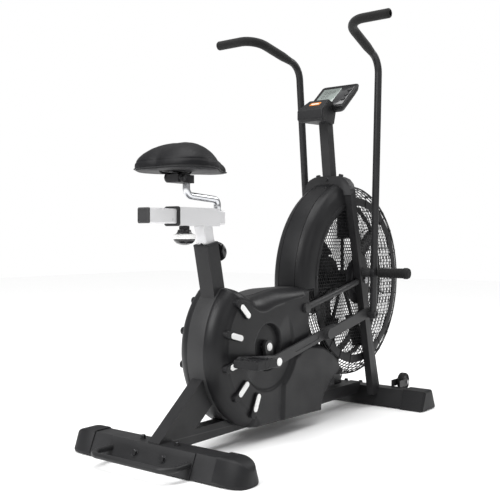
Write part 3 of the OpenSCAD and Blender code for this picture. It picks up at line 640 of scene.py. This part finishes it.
def fan_rotor():
    """Seven curved blades on spokes, a hub and the ring that ties the blades together."""
    front = [(52 * t - 2, 10 * (1 - (2 * t) ** 2) - 5) for t in (i / 6 - 0.5 for i in range(7))]
    blade = front + [(y, z + 2.5) for y, z in reversed(front)]
    bm = bmesh.new()
    for k in range(BLADES):
        spoke = Matrix.Translation((FAN.x, 0, FAN.z)) @ Matrix.Rotation(-TAU * (k / BLADES + 0.25), 4, "Y")
        block(bm, (30, -4, -6), (150, 4, 6), spoke)
        loft(bm, [[spoke @ Vector((r, y, z)) for y, z in blade] for r in (BLADE_IN, BLADE_OUT)])
    lathe(bm, profile([(268, -2), (284, -2), (284, 3), (268, 3)], 0.8, True), axis_y(FAN.x, FAN.z), 120)
    lathe(bm, profile([(15, -36), (30, -36), (34, -30), (34, 40), (30, 45), (15, 45)], 2.5, True),
          axis_y(FAN.x, FAN.z), 64)
    soften(put("fan_rotor", bm, BLACK, "fan", ("fan_wheel",), 35), 0.8, 2)


# ------------------------------------------------------------------ tubes, arms and pegs

def lift_handle():
    low, high = box_mm("lift_loop")
    bm = bmesh.new()
    x, y, z = low.x + 8, 140, 36
    root = high.x - 8
    path = rounded([(root, -y, z), (x, -y, z), (x, y, z), (root, y, z)], 40, 10)
    sweep(bm, path, 8.0, 24)
    put("lift_handle_tube", bm, FRAME_PAINT, "base", angle=50)
    refine("lift_loop", FRAME_PAINT, 1.2)


# Arm: path from its pivot, bend radius, tube and grip radius, and the left arm's lag
ARM_PATH = [(-8, 133, -146), (29, 133, 738), (-212, 145, 822), (-212, 302, 822)]
ARM_BEND, ARM_R, GRIP_R = 62, 12.5, 15.4
ARM_SPLIT = math.radians(7.8)


def arm(side):
    """Swinging arm tube with its hub and foot eye, and the foam grip over its upper end."""
    sign = SIGN[side]
    lean = 0.0 if side == "right" else ARM_SPLIT
    body = "arm_" + side
    pose = Matrix.Translation((PIVOT.x, 0, PIVOT.z)) @ Matrix.Rotation(-lean, 4, "Y") \
        @ Matrix.Scale(sign, 4, (0, 1, 0))
    tube = bmesh.new()
    sweep(tube, rounded(ARM_PATH, ARM_BEND, 10), ARM_R, 28)
    hub = [(15.1, 124.2), (19, 124.2), (20, 125.2), (20, 140.8), (19, 141.8), (15.1, 141.8)]
    lathe(tube, profile(hub, 0.6, True), axis_y(0, 0), 48)
    lathe(tube, profile([(5, 120.2), (14, 120.2), (14, 146.3), (5, 146.3)], 1.0, True), axis_y(-8, -144), 40)
    bmesh.ops.transform(tube, matrix=pose, verts=tube.verts)
    put(side + "_arm_tube", tube, FRAME_PAINT, body, (side + "_arm",), 40)
    grip = bmesh.new()
    d = (Vector(ARM_PATH[2]) - Vector(ARM_PATH[1])).normalized()
    start = Vector(ARM_PATH[1]) + d * 58
    path = rounded([start, ARM_PATH[2], ARM_PATH[3]], ARM_BEND, 14)
    fine = []
    for a, b in zip(path, path[1:]):
        n = max(1, int((b - a).length / 5))
        fine += [a + (b - a) * (k / n) for k in range(n)]
    fine.append(path[-1])
    sweep(grip, fine, [GRIP_R - 2.4 * (1 - ramp(i, 0, 9)) for i in range(len(fine))], 32)
    bmesh.ops.transform(grip, matrix=pose, verts=grip.verts)
    put(side + "_grip_foam", grip, FOAM, body, (side + "_arm_grip",), 50)


def bullet_cap(side):
    """Rear stabilizer cap with a round nose that slopes down to the floor."""
    s = SIGN[side]
    low, high = box_mm("rear_end_caps")
    x, tip = (low.x + high.x) / 2, high.y

    def ring(y, wide, top, grow=0.0):
        foot, crown = 56 * wide - grow, 30 * wide - grow
        outline = rounded([(-foot, 0, 1.0 + grow), (foot, 0, 1.0 + grow), (crown, 0, top - grow),
                           (-crown, 0, top - grow)], 7 * wide + 1, 5, True)
        return [Vector((x + p.x, s * y, p.z)) for p in outline]

    rings = [ring(tip - 87, 1.0, 67.5, 5), ring(tip - 88, 1.0, 67.5, 1.2), ring(tip - 86.5, 1.0, 67.5)]
    for k in range(11):
        t = math.radians(90 * k / 10)
        rings.append(ring(tip - 54 + 54 * math.sin(t), max(0.12, math.cos(t) ** 0.6),
                          67.5 - 30 * (1 - math.cos(t))))
    bm = bmesh.new()
    loft(bm, rings)
    lathe(bm, profile([(0, 0.2), (15, 0.2), (17, 2), (17, 12), (0, 12)], 0.6),
          Matrix.Translation((x, s * (tip - 34), 0)), 32)
    put("rear_cap_" + side, bm, CAP, "base", ("rear_end_caps",), 45)


def foot_peg(side):
    s = SIGN[side]
    metal, rubber = bmesh.new(), bmesh.new()
    lathe(metal, profile([(0, 67.8), (8.9, 67.8), (8.9, 92.5), (16, 92.5), (16, 123),
                          (11.8, 123.2), (11.8, 143), (0, 143)], 0.5), axis_y(PIVOT.x, PIVOT.z, 0, s), 48)
    put(side + "_peg_stem", metal, DARK_PAINT, "base", (side + "_foot_peg",), 35)
    points = [(0, 150), (14, 150), (17, 152.5), (17, 158)]
    y = 158
    while y < 232:
        points += [(17, y), (15.6, y + 1.2), (15.6, y + 3.2), (17, y + 4.4), (17, y + 8.8)]
        y += 9
    points += [(17, 246), (19, 248), (19, 259), (17.5, 261), (16.5, 265), (13, 266), (0, 266)]
    lathe(rubber, profile(points, 0.5), axis_y(PIVOT.x, PIVOT.z, 0, s), 56)
    put(side + "_peg_rubber", rubber, RUBBER, "base", angle=35)


def stay(side):
    s = SIGN[side]
    bm = bmesh.new()
    a = Vector((STAY.x, s * 78, STAY.z))
    b = a + Vector((329.8, 0, 69.6))
    sweep(bm, [a, a + (b - a) * 0.5, b], 10, 28)
    lathe(bm, profile([(0, 67.3), (15, 67.3), (15, 89.3), (0, 89.3)], 1.5), axis_y(STAY.x, STAY.z, 0, s), 40)
    put(side + "_stay_tube", bm, DARK_PAINT, "base", (side + "_stay",), 40)


# ------------------------------------------------------------------ seat

SADDLE_EDGE = [(-589, 0), (-593, 34), (-587, 74), (-564, 108), (-526, 124), (-482, 119), (-438, 97),
               (-398, 68), (-362, 48), (-332, 36), (-315, 19), (-312, 0)]
SADDLE_MID = Vector((-474, 0))


def saddle_ring(scale, z, sink=0.0):
    half = smooth_curve(SADDLE_EDGE, 5)
    loop = half + [(x, -y) for x, y in reversed(half[1:-1])]
    out = []
    for x, y in loop:
        p = SADDLE_MID + (Vector((x, y)) - SADDLE_MID) * scale
        fall = 1 - 0.4 * ramp(p.x, -480, -305)
        dish = sink * math.exp(-(p.y / 16) ** 2) * ramp(p.x, -601, -536)
        out.append(Vector((p.x, p.y, 790 + (z - 790) * fall - dish)))
    return out


CLOTH_FRAMES = 20


def padded(mesh, voxel, pressure, cap, pinned_below):
    """Remeshes a closed shape and puffs it with a short cloth run; points move at most cap."""
    obj = linked("pad_work", mesh)
    remesh = obj.modifiers.new("remesh", "REMESH")
    remesh.mode = "VOXEL"
    remesh.voxel_size = voxel
    depsgraph = bpy.context.evaluated_depsgraph_get()
    base = bpy.data.meshes.new_from_object(obj.evaluated_get(depsgraph))
    bpy.data.objects.remove(obj)
    obj = linked("pad_sim", base)
    pins = obj.vertex_groups.new(name="pins")
    pins.add([v.index for v in base.vertices if v.co.z < pinned_below], 1.0, "REPLACE")
    cloth = obj.modifiers.new("cloth", "CLOTH")
    cloth.settings.vertex_group_mass = "pins"
    cloth.settings.use_pressure = True
    cloth.settings.uniform_pressure_force = pressure
    cloth.settings.tension_stiffness = 12
    cloth.settings.compression_stiffness = 12
    cloth.settings.bending_stiffness = 0.6
    cloth.settings.effector_weights.gravity = 0
    scene = bpy.context.scene
    for f in range(1, CLOTH_FRAMES + 1):
        scene.frame_set(f)
    moved = obj.evaluated_get(bpy.context.evaluated_depsgraph_get()).to_mesh()
    for v, w in zip(base.vertices, [p.co.copy() for p in moved.vertices]):
        step = w - v.co
        if step.length > cap:
            step *= cap / step.length
        v.co += step
    bpy.data.objects.remove(obj)
    scene.frame_set(1)
    bm = bmesh.new()
    bm.from_mesh(base)
    for _ in range(3):
        bmesh.ops.smooth_vert(bm, verts=bm.verts, factor=0.5, use_axis_x=True, use_axis_y=True,
                              use_axis_z=True)
    bmesh.ops.subdivide_edges(bm, edges=bm.edges, cuts=1, use_grid_fill=True, smooth=1.0)
    bm.to_mesh(base)
    bm.free()
    return base


def saddle():
    """Puffed leather cover with a sewn seam, piping round its lower edge and a moulded pan."""
    bm = bmesh.new()
    rings = [saddle_ring(0.02, 792), saddle_ring(0.55, 790), saddle_ring(0.88, 787),
             saddle_ring(0.955, 787), saddle_ring(0.965, 791), saddle_ring(0.965, 800)]
    for k in range(1, 19):
        t = math.radians(90 * k / 18)
        rings.append(saddle_ring(max(0.02, 0.965 * math.cos(t)), 800 + 63 * math.sin(t) ** 1.25, 1.5))
    loft(bm, rings)
    pad = padded(as_mesh(bm, "saddle_work"), 0.005, 4.0, 0.008, 0.793)
    for v in pad.vertices:
        seam = abs(v.co.z / MM - 809 - 0.02 * (v.co.x / MM + 480))
        edge = Vector((v.co.x / MM, v.co.y / MM)) - SADDLE_MID
        if seam < 4 and edge.length > 30:
            push = 1.3 * (1 - ramp(seam, 0.5, 4)) * MM
            v.co.x -= edge.normalized().x * push
            v.co.y -= edge.normalized().y * push
        wrinkle = noise.noise(v.co * 55) * 0.5 + noise.noise(v.co * 130) * 0.2
        v.co.z += wrinkle * MM
    place("saddle_cover", pad, LEATHER, "seat", ("saddle",), 60)
    piping = bmesh.new()
    edge = [p + Vector((0, 0, -1.0)) for p in saddle_ring(0.975, 790)]
    sweep(piping, edge, 1.4, 10, closed=True)
    put("saddle_piping", piping, BLACK, "seat", angle=60)
    pan = bmesh.new()
    loft(pan, [saddle_ring(0.60, 781.5), saddle_ring(0.90, 782), saddle_ring(0.945, 785),
               saddle_ring(0.945, 789), saddle_ring(0.3, 793)])
    put("saddle_pan", pan, CAP, "seat", angle=40)


def rrect(x0, x1, y0, y1, r, steps=5):
    """Rounded rectangle in X and Y."""
    out = []
    for cx, cy, a in ((x1 - r, y1 - r, 0), (x0 + r, y1 - r, 90), (x0 + r, y0 + r, 180),
                      (x1 - r, y0 + r, 270)):
        out += arc_points(cx, cy, r, a, a + 90, steps)
    return out


LEAN = math.radians(12.5)
SEAT_OUT = Vector((math.cos(LEAN), 0, math.sin(LEAN)))
SEAT_FRAME = Matrix.Translation((-272, 0, 78)) @ Matrix.Rotation(-LEAN, 4, "Y")


def seat_parts():
    refine("seat_post", SILVER, 2.0)
    low, high = box_mm("seat_slider")
    zc = (low.z + high.z) / 2
    bm = bmesh.new()
    turn = Matrix(((0, 0, 1, 0), (0, 1, 0, 0), (-1, 0, 0, 0), (0, 0, 0, 1)))

    def across(x, half, r):
        return [Vector((x, b, zc + a)) for a, b in rrect(-half, half, -half, half, r)]

    loft(bm, [across(low.x, 19, 3.5), across(low.x + 1, 20, 4), across(high.x - 1, 20, 4),
              across(high.x, 19, 3.5)])
    soften(put("saddle_slide_tube", bm, SILVER, "seat", ("seat_slider",), 35), 0.3, 2)
    bm = bmesh.new()
    loft(bm, [across(low.x + 2, 20.6, 4), across(low.x - 1, 20.6, 4), across(low.x - 3, 19.2, 4),
              across(low.x - 3, 16, 3), across(low.x - 1.6, 15, 3)])
    put("slide_plug", bm, DARK_PAINT, "seat", angle=35)
    back = -521.0
    bm = bmesh.new()
    loft(bm, [across(back + 4, 20.3, 4), across(back - 7, 20.3, 4), across(back - 7, 25, 6),
              across(back - 5, 26.6, 7), across(back + 0.5, 26.6, 7), across(back + 0.5, 22, 4)],
         closed=True)
    put("slide_collar", bm, CAP, "post", angle=35)
    bm = bmesh.new()
    low, high = box_mm("saddle_pin")
    foot, head = high.x - 10, low.x + 10
    path = rounded([(foot, 0, low.z + 0.5), (foot, 0, 712), (head, 0, 720), (head, 0, 778)], 21, 12)
    sweep(bm, path, 10.2, 32)
    lathe(bm, profile([(10, 0), (12.4, 0), (12.4, 2.2), (10, 3.2)], 0.5, True),
          Matrix.Translation((foot, 0, low.z + 0.3)), 40)
    put("saddle_pin_bar", bm, CHROME, "seat", ("saddle_pin",), 40)
    refine("saddle_clamp", CAP, 3.0)
    bm = bmesh.new()
    for s in (-1, 1):
        hex_bolt(bm, axis_y(head - 44, 766, s * 29.5, s), 13, 7, 11)
    for k in (-1, 1):
        for s in (-1, 1):
            sweep(bm, [(head - 44 + k * 40, s * 20, 783), (head - 44 + k * 34, s * 20, 777),
                       (head - 44 - k * 34, s * 20, 777), (head - 44 - k * 40, s * 20, 783)], 3.2, 12)
    put("saddle_rails", bm, DARK_STEEL, "seat", angle=40)
    bush = bmesh.new()
    steps = ((516.4, 18.3, 3), (516.4, 26, 5), (517.4, 27, 6), (521.5, 27, 6), (522.8, 26, 5),
             (522.8, 18.3, 3))
    loft(bush, [[SEAT_FRAME @ Vector((a, b, z)) for a, b in rrect(-half, half, -half, half, r)]
                for z, half, r in steps], closed=True)
    put("seat_tube_collar", bush, CAP, "base", ("seat_bushing",), 35)


def knobs():
    origin = SEAT_FRAME @ Vector((19, 0, 487))
    at = Matrix.Translation(origin) @ SEAT_OUT.to_track_quat("Z", "Y").to_matrix().to_4x4()
    shape = [(0, 0), (7.5, 0), (7.5, 9), (12, 9), (12, 17), (17, 20), (26.5, 24), (28.5, 28), (28.3, 32),
             (26, 36.5), (20, 40), (12, 42), (0, 42.6)]
    bm = bmesh.new()
    lathe(bm, profile(shape, 2.0), at, 56)
    put("height_pull_knob", bm, GLOSS, "knob_height", ("height_knob",), 40)
    bm = bmesh.new()
    lathe(bm, profile([(8.2, 6.5), (15, 6.5), (15, 9.5), (13.5, 10.5), (8.2, 10.5)], 0.6, True), at, 40)
    put("height_knob_socket", bm, DARK_STEEL, "base", angle=35)
    at = Matrix.Translation((middle("slider_knob").x, 0, 640)) @ Matrix.Rotation(math.pi, 4, "X")
    dark, band = bmesh.new(), bmesh.new()
    lathe(dark, profile([(0, 0), (7.5, 0), (7.5, 4), (14.5, 5), (14.5, 14), (18, 15.5), (19, 20), (21, 24),
                         (26, 27), (26, 40), (30, 40), (28, 46), (22, 52), (12, 56), (0, 57.4)], 1.2),
          at, 56)
    put("slide_pull_knob", dark, GLOSS, "knob_slider", ("slider_knob",), 40)
    lathe(band, profile([(20, 26.4), (26, 26.4), (31, 29), (31.3, 38), (30.2, 40.2), (20, 40.2)], 0.8, True),
          at, 64)
    put("slide_knob_band", band, WHITE, "knob_slider", angle=35)


# ------------------------------------------------------------------ console

TILT = math.radians(40)
HEAD = Matrix.Translation((303, 0, 1101)) @ Matrix.Rotation(-TILT, 4, "Y")


def console():
    """Wedge-shaped display head with a recessed face, the block behind it and its plain accents."""
    bm = bmesh.new()
    shells = [(-34, -52, 44, 50, 12), (-30, -62, 56, 58, 12), (-18, -69, 66, 70, 13),
              (-6, -72, 72, 74.5, 13), (-2, -72, 72, 74.5, 13), (0, -69.5, 69.5, 72, 11),
              (0, -66, 66, 68.5, 9), (-2.4, -64, 64, 66.5, 8)]
    loft(bm, [[HEAD @ Vector((a, b, z)) for a, b in rrect(x0, x1, -w, w, r)] for z, x0, x1, w, r in shells])
    put("console_head", bm, BLACK, "base", ("console_housing",), 28)
    bm = bmesh.new()
    outline = rounded([(152, 0, 1004), (162, 0, 996), (272, 0, 996), (284, 0, 1040), (262, 0, 1072),
                       (212, 0, 1074), (160, 0, 1040), (152, 0, 1032)], 6, 4)
    prism(bm, [(p.x, p.z) for p in outline], -50, 50)
    for v in bm.verts:
        v.co.y *= 1 - 0.52 * ramp(v.co.x, 172, 262)
    soften(put("console_chin", bm, BLACK, "base", angle=40), 6, 4, 50)
    bm = bmesh.new()
    loft(bm, [[HEAD @ Vector((a, b, z)) for a, b in rrect(-60 + g, 60 - g, -62.5 + g, 62.5 - g, 6)]
              for z, g in ((-2.6, 0), (-1.5, 0), (-1.2, 0.5))])
    put("console_face", bm, BEZEL, "base", angle=35)
    low, high = -49.5, 53.5
    bm = bmesh.new()
    loft(bm, [[HEAD @ Vector((a, b, z)) for a, b in rrect(low + g, high - g, -12 + g, 60 - g, 3)]
              for z, g in ((-2, 0), (-0.7, 0), (-0.4, 0.4))])
    put("display_window", bm, SCREEN, "base", ("console_screen",), 35)
    bm = bmesh.new()
    digits = {0: "abcdef", 1: "bc", 2: "abged", 3: "abgcd", 5: "afgcd", 8: "abcdefg"}
    strokes = {"a": (8, 0, 0), "g": (0, 0, 0), "d": (-8, 0, 0), "f": (4, 4, 1), "b": (4, -4, 1),
               "e": (-4, 4, 1), "c": (-4, -4, 1)}
    for row, values in ((30, (0, 0, 0)), (0, (0, 0)), (-28, (0, 0, 0))):
        for i, value in enumerate(values):
            left = 46 - 16 * i
            for name in digits[value]:
                up, across, upright = strokes[name]
                w, h = (0.7, 3.2) if upright else (2.9, 0.7)
                c = Vector((row + up, left + across - 4, 0))
                block(bm, (c.x - h, c.y - w, -0.42), (c.x + h, c.y + w, -0.25), HEAD)
    put("display_digits", bm, DARK_PAINT, "base", angle=35)
    for i in (1, 2, 3):
        refine(f"console_button_{i}", DARK_PAINT, 1.0)
    bm = bmesh.new()
    top = Matrix.Translation((184, 2, 1056.2)) @ Matrix.Rotation(math.radians(-33.2), 4, "Y")
    loft(bm, [[top @ Vector((a, b, z)) for a, b in rrect(-9 + g, 12 - g, -24 + g, 16 - g, 4)]
              for z, g in ((-1.0, 0), (0.5, 0), (0.8, 0.5))])
    put("chin_accent", bm, ORANGE, "base", angle=35)
    bm = bmesh.new()
    loft(bm, [[top @ Vector((a, b, z)) for a, b in rrect(-3 + g, 3 - g, -18 + g, 10 - g, 2)]
              for z, g in ((0.5, 0), (1.1, 0), (1.3, 0.3))])
    put("chin_accent_bar", bm, WHITE, "base", angle=35)


# ------------------------------------------------------------------ wheels, pedals and hardware

def wheel(side):
    low, high = box_mm(side + "_wheel")
    x, y, z = (low + high) / 2
    tyre, hub = bmesh.new(), bmesh.new()
    at = Matrix.Translation((x, y, z)) @ Matrix.Rotation(math.radians(90), 4, "X")
    lathe(tyre, profile([(22, -10), (27, -11), (31, -9.5), (32, -6), (32, -3), (31, -2.2), (31, 2.2),
                         (32, 3), (32, 6), (31, 9.5), (27, 11), (22, 10)], 0.8, True), at, 64)
    put(side + "_wheel_tyre", tyre, RUBBER, "wheel_" + side, (side + "_wheel",), 40)
    lathe(hub, profile([(4.1, -12), (9, -12), (12, -7), (19, -6), (22.5, -9), (22.5, 9), (19, 6), (12, 7),
                        (9, 12), (4.1, 12)], 0.8, True), at, 48)
    put(side + "_wheel_hub", hub, DARK_PAINT, "wheel_" + side, angle=40)


def pedal(side):
    """Platform pedal: barrel, two rails with grip pins, end plates and rubber treads."""
    s = SIGN[side]
    c = middle(side + "_pedal")
    body = bmesh.new()
    lathe(body, profile([(7.1, 113), (13, 113), (13, 126), (11.5, 128), (11.5, 185), (13, 187), (13, 200),
                         (7.1, 200)], 1.0, True), axis_y(c.x, c.z, 0, s), 40)
    for y0, y1 in ((116, 126), (189, 199.5)):
        outline = [(c.x - 45, c.z - 7), (c.x - 40, c.z - 12), (c.x + 40, c.z - 12), (c.x + 45, c.z - 7),
                   (c.x + 45, c.z + 7), (c.x + 40, c.z + 12), (c.x - 40, c.z + 12), (c.x - 45, c.z + 7)]
        a, b = sorted((s * y0, s * y1))
        prism(body, outline, a, b)
    for k in (-1, 1):
        a, b = sorted((s * 118, s * 197))
        prism(body, [(c.x + k * 38 - 6, c.z - 11), (c.x + k * 38 + 6, c.z - 11), (c.x + k * 38 + 6, c.z + 11),
                     (c.x + k * 38 - 6, c.z + 11)], a, b)
        a, b = sorted((s * 124, s * 191))
        prism(body, [(c.x + k * 20 - 4, c.z - 8), (c.x + k * 20 + 4, c.z - 8), (c.x + k * 20 + 4, c.z + 8),
                     (c.x + k * 20 - 4, c.z + 8)], a, b)
    soften(put(side + "_pedal_body", body, BLACK, "pedal_" + side, (side + "_pedal",), 40), 1.6, 3)
    pins = bmesh.new()
    for up in (-1, 1):
        for k in (-1, 1):
            for y in (132, 145, 158, 171, 184):
                at = Matrix.Translation((c.x + k * 38, s * y, c.z + up * 10.6))
                if up < 0:
                    at = at @ Matrix.Rotation(math.pi, 4, "X")
                lathe(pins, profile([(0, 0), (2.2, 0), (2.2, 1.6), (1.4, 2.4), (0, 2.4)], 0.3), at, 14)
    put(side + "_pedal_pins", pins, DARK_STEEL, "pedal_" + side, angle=40)


def hardware():
    """Bolts that show: on the lift plate, in front of it, on the fork crown and at the fork's feet."""
    plate = bmesh.new()
    lean = math.atan2(60, 26)
    for y in (-50, 50):
        at = Matrix.Translation((-611, y, 34)) @ Matrix.Rotation(-lean, 4, "Y")
        hex_bolt(plate, at @ Matrix.Translation((0, 0, 4)), 15, 7.5, 11)
    put("plate_bolts", plate, DARK_STEEL, "base", ("base_bolts",), 35)
    other = bmesh.new()
    for y in (-62, 62):
        hex_bolt(other, Matrix.Translation((-572, y, 64)), 12, 10, 9)
    for s in (-1, 1):
        tilt = Matrix.Rotation(s * math.radians(-12), 4, "X")
        hex_bolt(other, Matrix.Translation((281, s * 45, 815)) @ tilt, 14, 9, 11)
        hex_bolt(other, Matrix.Translation((450, s * 30, 78)), 11, 7, 8)
    hex_bolt(other, Matrix.Translation((263, 0, 806)) @ Matrix.Rotation(math.radians(-90), 4, "Y"), 10, 5, 8)
    put("frame_bolts", other, DARK_STEEL, "base", angle=35)


# ------------------------------------------------------------------ build

for side in ("right", "left"):
    cover(side)
    pills(side)
    cage(side)
    arm(side)
    bullet_cap(side)
    foot_peg(side)
    stay(side)
    wheel(side)
    pedal(side)
spine()
fan_guard()
fan_rotor()
lift_handle()
saddle()
seat_parts()
knobs()
console()
hardware()

for node, mat, width in (
        ("main_frame", FRAME_PAINT, 3.0), ("rear_stabilizer", FRAME_PAINT, 3.0),
        ("front_stabilizer", FRAME_PAINT, 3.0), ("front_end_caps", CAP, 3.0),
        ("front_fork", FRAME_PAINT, 3.0), ("mast", FRAME_PAINT, 2.5), ("right_crank_arm", DARK_PAINT, 2.0),
        ("left_crank_arm", DARK_PAINT, 2.0), ("right_link", DARK_PAINT, 1.5), ("left_link", DARK_PAINT, 1.5),
        ("crank_webs", DARK_PAINT, 1.5), ("crank_caps", WHITE, 1.0), ("fan_axle", STEEL, 0.8)):
    refine(node, mat, width)

# The rear tube ends inside its round caps
for v in bpy.data.objects["rear_stabilizer_finished"].data.vertices:
    v.co.y = max(-0.25, min(0.25, v.co.y))

for node, mat in (("wheel_axles", STEEL), ("drive_belt", RUBBER), ("crank_bearings", STEEL),
                  ("arm_bushes", BLACK), ("fan_bearings", STEEL), ("fan_pulley", STEEL),
                  ("crank_spindle", STEEL), ("crank_pulley", BLACK), ("crank_pins", STEEL),
                  ("pedal_spindles", STEEL)):
    NODES[node].data.materials.clear()
    NODES[node].data.materials.append(mat)

# ------------------------------------------------------------------ floor, light and camera

bm = bmesh.new()
bmesh.ops.create_grid(bm, x_segments=12, y_segments=12, size=9.0)
floor = linked("floor", as_mesh(bm, "floor", 1.0))
floor.data.materials.append(FLOOR)

world = bpy.data.worlds.new("studio")
world.use_nodes = True
sky = world.node_tree
plain = sky.nodes["Background"]
plain.inputs["Color"].default_value = (1, 1, 1, 1)
seen = sky.nodes.new("ShaderNodeLightPath")
level = sky.nodes.new("ShaderNodeMapRange")
level.inputs["To Min"].default_value = 0.34
level.inputs["To Max"].default_value = 1.0
sky.links.new(seen.outputs["Is Camera Ray"], level.inputs["Value"])
sky.links.new(level.outputs["Result"], plain.inputs["Strength"])
bpy.context.scene.world = world
bpy.context.scene.view_settings.view_transform = "Standard"


def area(name, place_at, target, size, power):
    light = bpy.data.lights.new(name, "AREA")
    light.shape = "RECTANGLE"
    light.size, light.size_y = size
    light.energy = power
    obj = linked(name, light)
    obj.location = place_at
    obj.rotation_euler = (Vector(target) - Vector(place_at)).to_track_quat("-Z", "Y").to_euler()


area("key", (-3.0, 0.4, 2.6), (0, 0, 0.6), (2.0, 2.0), 110)
area("fill", (-0.6, -3.6, 2.2), (0, 0, 0.5), (2.4, 1.6), 14)
area("rim", (2.6, -1.2, 2.6), (0, 0, 0.6), (1.6, 1.6), 30)

overhead = bpy.data.lights.new("overhead", "SUN")
overhead.energy = 2.3
overhead.angle = math.radians(50)
linked("overhead", overhead)

camera_data = bpy.data.cameras.new("camera")
camera_data.lens = 56.88
camera_data.sensor_width = 36.0
camera_data.clip_end = 60
camera = linked("camera", camera_data)
camera.location = (-2.086, -1.448, 0.600)
yaw, down = math.radians(37.2), math.radians(0.8)
aim = Vector((math.cos(yaw) * math.cos(down), math.sin(yaw) * math.cos(down), -math.sin(down)))
camera.rotation_euler = aim.to_track_quat("-Z", "Y").to_euler()
bpy.context.scene.camera = camera
